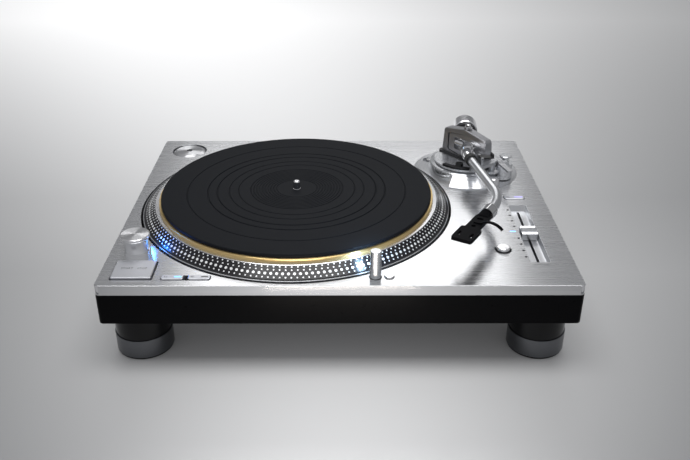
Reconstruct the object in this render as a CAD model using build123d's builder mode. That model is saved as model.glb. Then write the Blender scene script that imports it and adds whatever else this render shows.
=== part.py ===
"""A direct-drive turntable with an S-shaped tonearm, modelled in millimetres.

The origin is under the middle of the body, on the surface that the feet stand on.
+X is right, +Y is the back and +Z is up.
"""
from build123d import *
import os
from math import cos, radians, sin, tan

os.makedirs("parts", exist_ok=True)

# Body
WIDTH = 453.0
DEPTH = 353.0
HINGE_REACH = 19.0
DECK = 98.5
FRONT = -(DEPTH + HINGE_REACH) / 2
MIDDLE = FRONT + DEPTH / 2
BACK = FRONT + DEPTH
PLATE_T = 10.8
PLATE_INSET = 0.5
PLATE_CORNER = 4.0
PLATE_BEVEL = 1.6
BODY_CORNER = 5.0
BODY_BOTTOM = DECK - 41.5
BASE_BOTTOM = DECK - 49.0
BASE_INSET = 13.0
WALL = 8.0
CAVITY_TOP = DECK - 22.0
UNDERBODY_T = 4.5
UNDERBODY_TOP = BODY_BOTTOM + UNDERBODY_T
CHASSIS_TOP = DECK - PLATE_T

# Feet
FOOT_X = 198.0
FOOT_INSET_Y = 47.0
FOOT_R = 28.4
FOOT_CORE_R = 27.6
SLEEVE_TOP = DECK - 76.3
SOLE_T = 2.6
FOOT_TOP = BASE_BOTTOM + 0.4
FOOT_POCKET_R = 30.0
FOOT_POCKET_DEEP = 2.2
STUD_R = 4.0
STUD_TOP = DECK - 27.0
FIT = 0.05
BOSS_R = 12.0

# Platter, with its radii measured from the spindle
SPINDLE = (-47.5, FRONT + 171.8)
WELL_R = 168.3
WELL_FLOOR = DECK - 16.0
PLATTER_R = 165.8
RIM_BEVEL_R = 163.2
RIM_BEVEL_Z = 1.5
BAND_TOP_R = 151.8
BAND_TOP_Z = 10.6
RIM_INNER_R = 152.5
RIM_BOTTOM = -12.0
WEB_BOTTOM = 2.0
HUB_R = 66.0
HUB_BOTTOM = -2.0
BRASS_R = 147.85
BRASS_TOP = 14.0
MAT_R = 145.7
MAT_TOP = 17.6
MAT_GROOVES = (118.0, 96.0, 86.0, 73.0, 47.0)
GROOVE_W = 1.6
GROOVE_DEEP = 0.6
PIN_R = 3.6
PIN_TOP = 27.2
PIN_CORE_R = 4.0
PIN_CONE_R = 9.0
SHAFT_R = 5.0
SHAFT_BOTTOM = -32.7

# Motor and bearing
BEARING_R = 12.9
BEARING_FLANGE_R = 24.0
BEARING_BOTTOM = -36.5
MAGNET_IN = 30.0
MAGNET_OUT = 62.0
MAGNET_BOTTOM = -7.0
BOARD_T = 1.6
COIL_COUNT = 9
COIL_TOP = -8.9

# Controls, with their places from the middle line and from the front edge
START = (-194.3, 27.3)
START_SIZE = (37.7, 31.6)
START_GAP = 1.3
START_RISE = 2.3
SPEED_ROW = (-143.3, 14.35)
SPEED_SLOT = (47.0, 8.9)
SPEED_SIZE = (20.4, 7.3)
SPEED_PITCH = 25.1
SPEED_RISE = 1.2
STROBE = (-200.9, 69.0)
STROBE_R = 12.0
STROBE_TOP = 12.6
KNOB_R = 14.25
KNOB_TOP = 17.2
KNOB_GAP = 0.4
KNOB_STEM_R = 3.0
KNOB_STEM = 8.0
LAMP = (33.1, 15.8)
LAMP_R = 5.4
LAMP_TOP = 28.0
LAMP_BOTTOM = -14.0
LAMP_HOLE_R = 6.2
LAMP_BUTTON = (46.1, 16.1)
LAMP_BUTTON_R = 4.5
LAMP_BUTTON_RISE = 1.6
RESET = (161.0, 67.0)
RESET_R = 6.8
RESET_HOLE_R = 8.5
RESET_RISE = 3.4
FADER_X = 193.15
FADER_SLOT = (19.7, 122.2)
FADER_Y = 103.4
FADER_FLOOR = -5.5
FADER_CAP = (15.6, 17.0)
SLIT_W = 2.6
RANGE_BUTTON = (193.4, 183.5)
RANGE_SIZE = (21.7, 8.0)
RANGE_RISE = 0.9
BUTTON_SKIRT = -8.3
STEM_R = 2.5
STEM_BOTTOM = -14.5
STEM_HOLE_BOTTOM = -17.5
ADAPTER = (-190.6, 319.5)
ADAPTER_R = 19.4
ADAPTER_POCKET_R = 21.2
ADAPTER_FLOOR = -8.0

# Tonearm, with heights from the deck
PIVOT = (148.8, FRONT + 260.6)
ARM_Z = 31.0
PARK = 5.0
BASE_R = 60.5
COLUMN_R = 30.5
RING_R = 43.0
RING_BOTTOM = 0.3
RING_TOP = 12.0
PLATFORM_R = 37.0
PLATFORM_BOTTOM = 12.7
PLATFORM_TOP = 15.2
POD = (39.2, -20.6)
POD_R = 12.0
POD_TOP = 19.0
BRACKET_TURN = -50.0
BRACKET_HALF = 32.5
BRACKET_FLARE = 2.5
BRACKET_CUT = 8.0
BRACKET_BOTTOM = 10.5
BRACKET_SHOULDER = 14.4
BRACKET_CORNER_TOP = 46.0
BRACKET_TOP = 52.0
BRACKET_T = 10.0
OPENING_HALF = 26.0
OPENING_MID = 14.6
OPENING_SIDE = 10.8
GIMBAL_HALF = 25.0
GIMBAL_MID = 13.8
GIMBAL_SIDE = 10.0
GIMBAL_T = 8.0
GIMBAL_HOLE = (33.0, 14.8)
TUBE_R = 5.0
STUB_R = 6.0
FIRST_BEND = (31.9, 0.0)
SECOND_BEND = (141.75, -28.75)
COLLAR_AT = (173.3, -13.3)
HEAD_TURN = 26.0
COLLAR_R = 7.3
PLUG_R = 5.0


def on_deck(place, rise=0.0):
    """A point from its distance right of the middle line and back from the front edge."""
    return (place[0], FRONT + place[1], DECK + rise)


def deck_plane(rise=0.0):
    """A level plane above or below the deck's surface, with the part's own X and Y."""
    return Plane.XY.offset(DECK + rise)


def plan(place):
    """The same place as on_deck, in plan only."""
    return (place[0], FRONT + place[1])


def stems(*places):
    """Guide stems of a key, which slide in bores in the chassis."""
    with BuildPart() as posts:
        with BuildSketch(deck_plane(STEM_BOTTOM)):
            with Locations(*[plan(place) for place in places]):
                Circle(STEM_R)
        extrude(amount=BUTTON_SKIRT + 0.5 - STEM_BOTTOM)
    return posts.part


def keep(builder, name):
    """Label a finished piece and write its file."""
    builder.part.label = name
    export_step(builder.part, f"parts/{name}.step")


# The arm's own directions: forward along the parked tube, and to its left
ARM_FORWARD = Vector(-sin(radians(PARK)), -cos(radians(PARK)), 0)
ARM_LEFT = Vector(-cos(radians(PARK)), sin(radians(PARK)), 0)
ARM_CENTRE = Vector(PIVOT[0], PIVOT[1], DECK + ARM_Z)
HEAD_FORWARD = ARM_FORWARD * cos(radians(HEAD_TURN)) + ARM_LEFT * sin(radians(HEAD_TURN))
HEAD_LEFT = ARM_LEFT * cos(radians(HEAD_TURN)) - ARM_FORWARD * sin(radians(HEAD_TURN))
TUBE_ANGLE = radians(14.67)
TUBE_FORWARD = ARM_FORWARD * cos(TUBE_ANGLE) - ARM_LEFT * sin(TUBE_ANGLE)
TUBE_RIGHT = ARM_FORWARD * -sin(TUBE_ANGLE) - ARM_LEFT * cos(TUBE_ANGLE)


def along_arm(forward, left=0.0, rise=0.0):
    """A point forward of the pivot along the parked arm, to its left and above its axis."""
    return ARM_CENTRE + ARM_FORWARD * forward + ARM_LEFT * left + Vector(0, 0, rise)


def arm_section(forward, left=0.0):
    """A plane square to the parked arm, facing forward."""
    return Plane(origin=along_arm(forward, left), x_dir=ARM_LEFT, z_dir=ARM_FORWARD)


COLLAR_CENTRE = along_arm(*COLLAR_AT)


def head_section(forward):
    """A plane square to the headshell, facing forward, from the collar's middle."""
    return Plane(origin=COLLAR_CENTRE + HEAD_FORWARD * forward, x_dir=HEAD_LEFT * -1,
                 z_dir=HEAD_FORWARD)


def head_level(rise):
    """A level plane whose X runs forward along the headshell and whose Y runs to the viewer's right."""
    return Plane(origin=COLLAR_CENTRE + Vector(0, 0, rise), x_dir=HEAD_FORWARD, z_dir=(0, 0, 1))


# The bracket's own frame: X along its width, Y up, Z out of its face towards the platter
BRACKET_ALONG = Vector(cos(radians(BRACKET_TURN)), sin(radians(BRACKET_TURN)), 0)
BRACKET_OUT = Vector(sin(radians(BRACKET_TURN)), -cos(radians(BRACKET_TURN)), 0)
BRACKET_PLANE = Plane(origin=ARM_CENTRE, x_dir=BRACKET_ALONG, z_dir=BRACKET_OUT)


def arched(half, side, middle):
    """Corners of a frame's outline whose top and bottom rise towards its middle, about the arm's axis."""
    return [(-half, -side), (0, -middle), (half, -side), (half, side), (0, middle), (-half, side)]


def bracket_outline():
    """Corners of the bracket's outline in its own plane: an arched top and a foot with sloping ends."""
    low = BRACKET_HALF + BRACKET_FLARE
    base = low - BRACKET_CUT
    return [(-base, BRACKET_BOTTOM - ARM_Z), (base, BRACKET_BOTTOM - ARM_Z),
            (low, BRACKET_SHOULDER - ARM_Z), (BRACKET_HALF, BRACKET_CORNER_TOP - ARM_Z),
            (0, BRACKET_TOP - ARM_Z), (-BRACKET_HALF, BRACKET_CORNER_TOP - ARM_Z),
            (-low, BRACKET_SHOULDER - ARM_Z)]


def along_tube(distance):
    """A plane square to the tube's long straight run, facing forward, from its first bend."""
    return Plane(origin=along_arm(*FIRST_BEND) + TUBE_FORWARD * distance, x_dir=TUBE_RIGHT,
                 z_dir=TUBE_FORWARD)


FOOT_PLACES = {
    "front_left": (-FOOT_X, FRONT + FOOT_INSET_Y),
    "front_right": (FOOT_X, FRONT + FOOT_INSET_Y),
    "back_left": (-FOOT_X, BACK - FOOT_INSET_Y),
    "back_right": (FOOT_X, BACK - FOOT_INSET_Y),
}

# Where the keys' stems go down into the chassis
START_STEMS = [(START[0] - 12.0, START[1]), (START[0] + 12.0, START[1])]
SPEED_PLACES = {"speed_button_33": (SPEED_ROW[0] - SPEED_PITCH / 2, SPEED_ROW[1]),
                "speed_button_45": (SPEED_ROW[0] + SPEED_PITCH / 2, SPEED_ROW[1])}
STEM_PLACES = [*START_STEMS, *SPEED_PLACES.values(), LAMP_BUTTON, RESET, RANGE_BUTTON]

# Rear fittings
BAY_X = 78.0
BAY_SIZE = (92.0, 21.0)
BAY_DEEP = 21.0
BAY_Z = -26.5
BAY_WALL = 2.0
INLET_X = -110.0
INLET_SIZE = (31.0, 21.0)
INLET_DEEP = 20.0
HINGE_X = 150.0
HINGE_SIZE = (44.0, 30.0)
HINGE_TOP = DECK - 12.0

# The aluminium top plate, with an opening for everything that stands in it
with BuildPart() as top_plate:
    with BuildSketch(deck_plane(-PLATE_T)):
        with Locations((0, MIDDLE)):
            RectangleRounded(WIDTH - 2 * PLATE_INSET, DEPTH - 2 * PLATE_INSET, PLATE_CORNER)
    extrude(amount=PLATE_T)
    chamfer(top_plate.faces().sort_by(Axis.Z)[-1].outer_wire().edges(), PLATE_BEVEL)
    with BuildSketch(deck_plane()):
        with Locations(SPINDLE):
            Circle(WELL_R)
        with Locations(PIVOT):
            Circle(BASE_R + 0.4)
        with Locations(plan(STROBE)):
            Circle(STROBE_R)
        with Locations(plan(START)):
            RectangleRounded(START_SIZE[0] + 2 * START_GAP, START_SIZE[1] + 2 * START_GAP, 2.0)
        with Locations(plan(SPEED_ROW)):
            RectangleRounded(*SPEED_SLOT, 2.5)
        with Locations(plan(LAMP)):
            Circle(LAMP_HOLE_R)
        with Locations(plan(LAMP_BUTTON)):
            Circle(LAMP_BUTTON_R + 0.5)
        with Locations(plan(RESET)):
            Circle(RESET_HOLE_R)
        with Locations((FADER_X, FRONT + FADER_Y)):
            RectangleRounded(*FADER_SLOT, 1.5)
        with Locations(plan(RANGE_BUTTON)):
            RectangleRounded(RANGE_SIZE[0] + 1.4, RANGE_SIZE[1] + 1.4, 3.0)
    extrude(amount=-PLATE_T, mode=Mode.SUBTRACT)
    with BuildSketch(deck_plane()):
        with Locations(plan(ADAPTER)):
            Circle(ADAPTER_POCKET_R)
    extrude(amount=ADAPTER_FLOOR, mode=Mode.SUBTRACT)
keep(top_plate, "top_plate")

# The black die-cast chassis: outer walls, the platter well's floor and bosses for feet and lamp
with BuildPart() as die_cast_chassis:
    with BuildSketch(Plane.XY.offset(BODY_BOTTOM)):
        with Locations((0, MIDDLE)):
            RectangleRounded(WIDTH, DEPTH, BODY_CORNER)
    extrude(amount=CHASSIS_TOP - BODY_BOTTOM)
    with BuildSketch(Plane.XY.offset(BODY_BOTTOM)):
        with Locations((0, MIDDLE)):
            Rectangle(WIDTH - 2 * WALL, DEPTH - 2 * WALL)
    extrude(amount=CAVITY_TOP - BODY_BOTTOM, mode=Mode.SUBTRACT)
    with BuildSketch(Plane.XY.offset(UNDERBODY_TOP)):
        with Locations(*FOOT_PLACES.values()):
            Circle(BOSS_R)
        with Locations(plan(LAMP)):
            Circle(LAMP_HOLE_R + 3.0)
    extrude(amount=CAVITY_TOP - UNDERBODY_TOP + 1.0)
    with BuildSketch(Plane.XY.offset(CHASSIS_TOP)):
        with Locations(SPINDLE):
            Circle(WELL_R)
    extrude(amount=WELL_FLOOR - CHASSIS_TOP, mode=Mode.SUBTRACT)
    with BuildSketch(Plane.XY.offset(WELL_FLOOR)):
        with Locations(SPINDLE):
            Circle(BEARING_R)
    extrude(amount=CAVITY_TOP - WELL_FLOOR, mode=Mode.SUBTRACT)
    with BuildSketch(Plane.XY.offset(CHASSIS_TOP)):
        with Locations(plan(LAMP)):
            Circle(LAMP_R + FIT)
    extrude(amount=UNDERBODY_TOP - CHASSIS_TOP, mode=Mode.SUBTRACT)
    with BuildSketch(Plane.XY.offset(UNDERBODY_TOP)):
        with Locations(*FOOT_PLACES.values()):
            Circle(STUD_R + FIT)
    extrude(amount=STUD_TOP + 1.0 - UNDERBODY_TOP, mode=Mode.SUBTRACT)
    with BuildSketch(Plane.XY.offset(CHASSIS_TOP)):
        with Locations(*[plan(place) for place in STEM_PLACES]):
            Circle(STEM_R + FIT)
    extrude(amount=DECK + STEM_HOLE_BOTTOM - CHASSIS_TOP, mode=Mode.SUBTRACT)
    with BuildSketch(Plane.XZ.offset(-BACK)):
        with Locations((BAY_X, DECK + BAY_Z)):
            Rectangle(*BAY_SIZE)
    extrude(amount=BAY_DEEP, mode=Mode.SUBTRACT)
    with BuildSketch(Plane.XZ.offset(-BACK)):
        with Locations((INLET_X, DECK + BAY_Z)):
            Rectangle(*INLET_SIZE)
    extrude(amount=INLET_DEEP, mode=Mode.SUBTRACT)
keep(die_cast_chassis, "die_cast_chassis")

# The moulded underbody that closes the chassis from below
with BuildPart() as resin_underbody:
    with BuildSketch(Plane.XY.offset(BODY_BOTTOM)):
        with Locations((0, MIDDLE)):
            Rectangle(WIDTH - 2 * WALL, DEPTH - 2 * WALL)
        with Locations(*FOOT_PLACES.values()):
            Circle(STUD_R + 2.0, mode=Mode.SUBTRACT)
        with Locations(plan(LAMP)):
            Circle(LAMP_HOLE_R, mode=Mode.SUBTRACT)
    extrude(amount=UNDERBODY_T)
keep(resin_underbody, "resin_underbody")

# The heavy rubber base: a shallow bowl with a round pocket over each foot
with BuildPart() as rubber_base:
    with BuildSketch(Plane.XY.offset(BODY_BOTTOM)):
        with Locations((0, MIDDLE)):
            RectangleRounded(WIDTH, DEPTH, BODY_CORNER)
    with BuildSketch(Plane.XY.offset(BASE_BOTTOM)):
        with Locations((0, MIDDLE)):
            RectangleRounded(WIDTH - 2 * BASE_INSET, DEPTH - 2 * BASE_INSET, BODY_CORNER)
    loft(ruled=True)
    with BuildSketch(Plane.XY.offset(BASE_BOTTOM)):
        with Locations(*FOOT_PLACES.values()):
            Circle(FOOT_POCKET_R)
    extrude(amount=FOOT_POCKET_DEEP, mode=Mode.SUBTRACT)
    with BuildSketch(Plane.XY.offset(BASE_BOTTOM)):
        with Locations(*FOOT_PLACES.values()):
            Circle(STUD_R + 2.0)
    extrude(amount=BODY_BOTTOM - BASE_BOTTOM, mode=Mode.SUBTRACT)
keep(rubber_base, "rubber_base")

# Four feet: a black insulator with its stud, and a metal sleeve round its lower half
for corner, place in FOOT_PLACES.items():
    with BuildPart() as foot_core:
        with BuildSketch():
            with Locations(place):
                Circle(FOOT_CORE_R)
        extrude(amount=FOOT_TOP)
        fillet(foot_core.edges().group_by(Axis.Z)[-1], 2.0)
        chamfer(foot_core.edges().group_by(Axis.Z)[0], 0.8)
        with BuildSketch(Plane.XY.offset(FOOT_TOP)):
            with Locations(place):
                Circle(STUD_R)
        extrude(amount=STUD_TOP - FOOT_TOP)
    keep(foot_core, f"foot_core_{corner}")

    with BuildPart() as foot_sleeve:
        with BuildSketch(Plane.XY.offset(SOLE_T)):
            with Locations(place):
                Circle(FOOT_R)
                Circle(FOOT_CORE_R, mode=Mode.SUBTRACT)
        extrude(amount=SLEEVE_TOP - SOLE_T)
    keep(foot_sleeve, f"foot_sleeve_{corner}")

# The strobe lamp's round housing, with a window that looks at the platter's dots
WINDOW_SIZE = (11.0, 10.0)
WINDOW_T = 1.6
WINDOW_FROM = 8.0
STEM_SPARE = 0.6
STROBE_FACE = Plane(origin=on_deck(STROBE, 6.6), x_dir=(0.14, -0.99, 0), z_dir=(0.99, 0.14, 0))
with BuildPart() as strobe_housing:
    with BuildSketch(deck_plane(-PLATE_T)):
        with Locations(plan(STROBE)):
            Circle(STROBE_R)
    extrude(amount=PLATE_T + STROBE_TOP)
    with BuildSketch(STROBE_FACE.offset(WINDOW_FROM)):
        Rectangle(*WINDOW_SIZE)
    extrude(amount=STROBE_R, mode=Mode.SUBTRACT)
    with BuildSketch(deck_plane(STROBE_TOP)):
        with Locations(plan(STROBE)):
            Circle(KNOB_STEM_R + FIT)
    extrude(amount=-KNOB_STEM - STEM_SPARE, mode=Mode.SUBTRACT)
keep(strobe_housing, "strobe_housing")

with BuildPart() as strobe_window:
    with BuildSketch(STROBE_FACE.offset(WINDOW_FROM)):
        Rectangle(*WINDOW_SIZE)
    extrude(amount=WINDOW_T)
keep(strobe_window, "strobe_window")

# The turning power switch on top of the strobe housing
with BuildPart() as power_knob:
    with BuildSketch(deck_plane(STROBE_TOP + KNOB_GAP)):
        with Locations(plan(STROBE)):
            Circle(KNOB_R)
    extrude(amount=KNOB_TOP - STROBE_TOP - KNOB_GAP)
    chamfer(power_knob.edges().group_by(Axis.Z)[-1], 0.9)
    chamfer(power_knob.edges().group_by(Axis.Z)[0], 1.4)
    with BuildSketch(deck_plane(STROBE_TOP - KNOB_STEM)):
        with Locations(plan(STROBE)):
            Circle(KNOB_STEM_R)
    extrude(amount=KNOB_STEM + KNOB_GAP + 1.0)
keep(power_knob, "power_knob")

# The start and stop key
with BuildPart() as start_stop_button:
    with BuildSketch(deck_plane(BUTTON_SKIRT)):
        with Locations(plan(START)):
            RectangleRounded(*START_SIZE, 1.4)
    extrude(amount=START_RISE - BUTTON_SKIRT)
    chamfer(start_stop_button.edges().group_by(Axis.Z)[-1], 0.5)
    add(stems(*START_STEMS))
keep(start_stop_button, "start_stop_button")

# The two speed keys share one slot
for name, place in SPEED_PLACES.items():
    with BuildPart() as speed_button:
        with BuildSketch(deck_plane(BUTTON_SKIRT)):
            with Locations(plan(place)):
                RectangleRounded(*SPEED_SIZE, 1.6)
        extrude(amount=SPEED_RISE - BUTTON_SKIRT)
        chamfer(speed_button.edges().group_by(Axis.Z)[-1], 0.4)
        add(stems(place))
    keep(speed_button, name)

# The pop-up stylus lamp, with a notch that throws its light over the platter
LAMP_FACE = Plane(origin=on_deck(LAMP, LAMP_TOP - 6.0), x_dir=(0.89, 0.46, 0), z_dir=(-0.46, 0.89, 0))
with BuildPart() as target_lamp:
    with BuildSketch(deck_plane(LAMP_BOTTOM)):
        with Locations(plan(LAMP)):
            Circle(LAMP_R)
    extrude(amount=LAMP_TOP - LAMP_BOTTOM)
    chamfer(target_lamp.edges().group_by(Axis.Z)[-1], 0.6)
    with BuildSketch(LAMP_FACE.offset(2.0)):
        Rectangle(6.0, 4.6)
    extrude(amount=LAMP_R, mode=Mode.SUBTRACT)
keep(target_lamp, "target_lamp")

with BuildPart() as lamp_button:
    with BuildSketch(deck_plane(BUTTON_SKIRT)):
        with Locations(plan(LAMP_BUTTON)):
            Circle(LAMP_BUTTON_R)
    extrude(amount=LAMP_BUTTON_RISE - BUTTON_SKIRT)
    fillet(lamp_button.edges().group_by(Axis.Z)[-1], 0.8)
    add(stems(LAMP_BUTTON))
keep(lamp_button, "lamp_button")

# The pitch reset button: a polished dome-edged button in a round hole
with BuildPart() as reset_button:
    with BuildSketch(deck_plane(BUTTON_SKIRT)):
        with Locations(plan(RESET)):
            Circle(RESET_R)
    extrude(amount=RESET_RISE - BUTTON_SKIRT)
    fillet(reset_button.edges().group_by(Axis.Z)[-1], 1.0)
    add(stems(RESET))
keep(reset_button, "reset_button")

# The pitch fader's trough, with sloping sides and a slit for the stem
with BuildPart() as pitch_slide_liner:
    with BuildSketch(deck_plane(-PLATE_T)):
        with Locations((FADER_X, FRONT + FADER_Y)):
            RectangleRounded(*FADER_SLOT, 1.5)
    extrude(amount=PLATE_T - 0.2)
    with BuildSketch(deck_plane(-0.2)):
        with Locations((FADER_X, FRONT + FADER_Y)):
            RectangleRounded(FADER_SLOT[0] - 0.8, FADER_SLOT[1] - 0.8, 1.2)
    with BuildSketch(deck_plane(FADER_FLOOR)):
        with Locations((FADER_X, FRONT + FADER_Y)):
            RectangleRounded(FADER_SLOT[0] - 3.4, FADER_SLOT[1] - 8.0, 1.0)
    loft(ruled=True, mode=Mode.SUBTRACT)
    with BuildSketch(deck_plane(FADER_FLOOR)):
        with Locations((FADER_X, FRONT + FADER_Y)):
            Rectangle(SLIT_W, FADER_SLOT[1] - 12.0)
    extrude(amount=-PLATE_T - FADER_FLOOR, mode=Mode.SUBTRACT)
keep(pitch_slide_liner, "pitch_slide_liner")

# The fader's cap: a saddle with a high ridge and finger grooves across it
CAP_PROFILE = [(-8.5, -5.1), (8.5, -5.1), (8.5, 2.2), (6.6, 3.4), (4.9, 2.0), (3.2, 2.0), (1.6, 4.4),
               (-1.6, 4.4), (-3.2, 2.0), (-4.9, 2.0), (-6.6, 3.4), (-8.5, 2.2)]
FADER_TONGUE_L = 9.0
FADER_TONGUE_T = 4.6
with BuildPart() as pitch_fader:
    with BuildSketch(Plane(origin=(FADER_X - FADER_CAP[0] / 2, FRONT + FADER_Y, DECK),
                           x_dir=(0, 1, 0), z_dir=(1, 0, 0))):
        Polygon(*CAP_PROFILE, align=None)
    extrude(amount=FADER_CAP[0])
    with BuildSketch(deck_plane(FADER_FLOOR + 0.6)):
        with Locations((FADER_X, FRONT + FADER_Y)):
            Rectangle(SLIT_W - 2 * FIT, FADER_TONGUE_L)
    extrude(amount=-FADER_TONGUE_T)
keep(pitch_fader, "pitch_fader")

with BuildPart() as pitch_range_button:
    with BuildSketch(deck_plane(BUTTON_SKIRT)):
        with Locations(plan(RANGE_BUTTON)):
            RectangleRounded(*RANGE_SIZE, 2.4)
    extrude(amount=RANGE_RISE - BUTTON_SKIRT)
    chamfer(pitch_range_button.edges().group_by(Axis.Z)[-1], 0.4)
    add(stems(RANGE_BUTTON))
keep(pitch_range_button, "pitch_range_button")

# The loose centre piece for large-hole records, in its pocket
with BuildPart() as adapter_45:
    with BuildSketch(deck_plane(ADAPTER_FLOOR)):
        with Locations(plan(ADAPTER)):
            Circle(ADAPTER_R)
            Circle(PIN_R + FIT, mode=Mode.SUBTRACT)
    extrude(amount=-ADAPTER_FLOOR + 0.6)
    chamfer(adapter_45.faces().sort_by(Axis.Z)[-1].outer_wire().edges(), 1.8, 3.2)
keep(adapter_45, "adapter_45")

# The platter: a heavy casting with a deep rim, turned in one profile about the spindle
SPINDLE_PLANE = Plane(origin=(SPINDLE[0], SPINDLE[1], DECK), x_dir=(1, 0, 0), z_dir=(0, -1, 0))
SPINDLE_AXIS = Axis((SPINDLE[0], SPINDLE[1], DECK), (0, 0, 1))
PLATTER_PROFILE = [
    (PIN_CONE_R, HUB_BOTTOM), (HUB_R, HUB_BOTTOM), (HUB_R + 3.0, WEB_BOTTOM),
    (RIM_INNER_R - 4.0, WEB_BOTTOM), (RIM_INNER_R, WEB_BOTTOM - 4.0), (RIM_INNER_R, RIM_BOTTOM),
    (PLATTER_R, RIM_BOTTOM), (PLATTER_R, 0.6), (RIM_BEVEL_R, RIM_BEVEL_Z),
    (BAND_TOP_R, BAND_TOP_Z), (PIN_CONE_R, BAND_TOP_Z),
]
with BuildPart() as platter:
    with BuildSketch(SPINDLE_PLANE):
        Polygon(*PLATTER_PROFILE, align=None)
    revolve(axis=SPINDLE_AXIS)
keep(platter, "platter")

with BuildPart() as brass_plate:
    with BuildSketch(deck_plane(BAND_TOP_Z)):
        with Locations(SPINDLE):
            Circle(BRASS_R)
            Circle(PIN_CORE_R, mode=Mode.SUBTRACT)
    extrude(amount=BRASS_TOP - BAND_TOP_Z)
    chamfer(brass_plate.faces().sort_by(Axis.Z)[-1].outer_wire().edges(), 0.5)
keep(brass_plate, "brass_plate")

with BuildPart() as damping_rubber:
    with BuildSketch(deck_plane(WEB_BOTTOM)):
        with Locations(SPINDLE):
            Circle(RIM_INNER_R - 5.0)
            Circle(HUB_R + 4.0, mode=Mode.SUBTRACT)
    extrude(amount=-3.0)
keep(damping_rubber, "damping_rubber")

# The rubber mat: its top carries rings of grooves
MAT_PROFILE = [(PIN_CORE_R, MAT_TOP)]
for groove in sorted(MAT_GROOVES):
    MAT_PROFILE += [(groove - GROOVE_W / 2, MAT_TOP), (groove, MAT_TOP - GROOVE_DEEP),
                    (groove + GROOVE_W / 2, MAT_TOP)]
MAT_PROFILE += [(MAT_R - 1.0, MAT_TOP), (MAT_R, MAT_TOP - 1.0), (MAT_R, BRASS_TOP), (PIN_CORE_R, BRASS_TOP)]
with BuildPart() as rubber_mat:
    with BuildSketch(SPINDLE_PLANE):
        Polygon(*MAT_PROFILE, align=None)
    revolve(axis=SPINDLE_AXIS)
keep(rubber_mat, "rubber_mat")

# The spindle: centre pin above the mat, cone in the hub and shaft in the bearing
with BuildPart() as spindle:
    with BuildSketch(deck_plane(SHAFT_BOTTOM)):
        with Locations(SPINDLE):
            Circle(SHAFT_R)
    extrude(amount=HUB_BOTTOM - 1.0 - SHAFT_BOTTOM)
    with BuildSketch(deck_plane(HUB_BOTTOM - 1.0)):
        with Locations(SPINDLE):
            Circle(PIN_CONE_R)
    extrude(amount=BAND_TOP_Z - HUB_BOTTOM + 1.0)
    with BuildSketch(deck_plane(BAND_TOP_Z)):
        with Locations(SPINDLE):
            Circle(PIN_CORE_R)
    extrude(amount=MAT_TOP - BAND_TOP_Z)
    with BuildSketch(deck_plane(MAT_TOP)):
        with Locations(SPINDLE):
            Circle(PIN_R)
    extrude(amount=PIN_TOP - MAT_TOP)
    fillet(spindle.edges().group_by(Axis.Z)[-1], 2.0)
keep(spindle, "spindle")

with BuildPart() as rotor_magnet:
    with BuildSketch(deck_plane(MAGNET_BOTTOM)):
        with Locations(SPINDLE):
            Circle(MAGNET_OUT)
            Circle(MAGNET_IN, mode=Mode.SUBTRACT)
    extrude(amount=HUB_BOTTOM - MAGNET_BOTTOM)
keep(rotor_magnet, "rotor_magnet")

# The stator: a ring of flat coils on a round board
with BuildPart() as stator:
    with BuildSketch(Plane.XY.offset(WELL_FLOOR)):
        with Locations(SPINDLE):
            Circle(MAGNET_OUT + 3.0)
            Circle(BEARING_FLANGE_R + 1.0, mode=Mode.SUBTRACT)
    extrude(amount=BOARD_T)
    with BuildSketch(Plane.XY.offset(WELL_FLOOR + BOARD_T)):
        with Locations(SPINDLE):
            with PolarLocations((MAGNET_IN + MAGNET_OUT) / 2, COIL_COUNT):
                SlotOverall(29.0, 20.0)
                SlotOverall(17.0, 8.0, mode=Mode.SUBTRACT)
    extrude(amount=COIL_TOP + 16.0 - BOARD_T)
keep(stator, "stator")

with BuildPart() as bearing_housing:
    with BuildSketch(Plane.XY.offset(WELL_FLOOR)):
        with Locations(SPINDLE):
            Circle(BEARING_FLANGE_R)
    extrude(amount=3.0)
    with BuildSketch(deck_plane(BEARING_BOTTOM)):
        with Locations(SPINDLE):
            Circle(BEARING_R)
    extrude(amount=WELL_FLOOR - DECK - BEARING_BOTTOM)
    with BuildSketch(Plane.XY.offset(WELL_FLOOR + 3.0)):
        with Locations(SPINDLE):
            Circle(SHAFT_R + FIT)
    extrude(amount=SHAFT_BOTTOM - 0.3 - (WELL_FLOOR - DECK + 3.0), mode=Mode.SUBTRACT)
keep(bearing_housing, "bearing_housing")

# Electronics on the underbody: the power supply's case and the control board
SUPPLY_AT = (-120.0, MIDDLE + 105.0)
SUPPLY_SIZE = (95.0, 55.0)
SUPPLY_H = 12.0
with BuildPart() as power_supply:
    with BuildSketch(Plane.XY.offset(UNDERBODY_TOP)):
        with Locations(SUPPLY_AT):
            RectangleRounded(*SUPPLY_SIZE, 3.0)
    extrude(amount=SUPPLY_H)
    fillet(power_supply.edges().group_by(Axis.Z)[-1], 1.5)
keep(power_supply, "power_supply")

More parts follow.
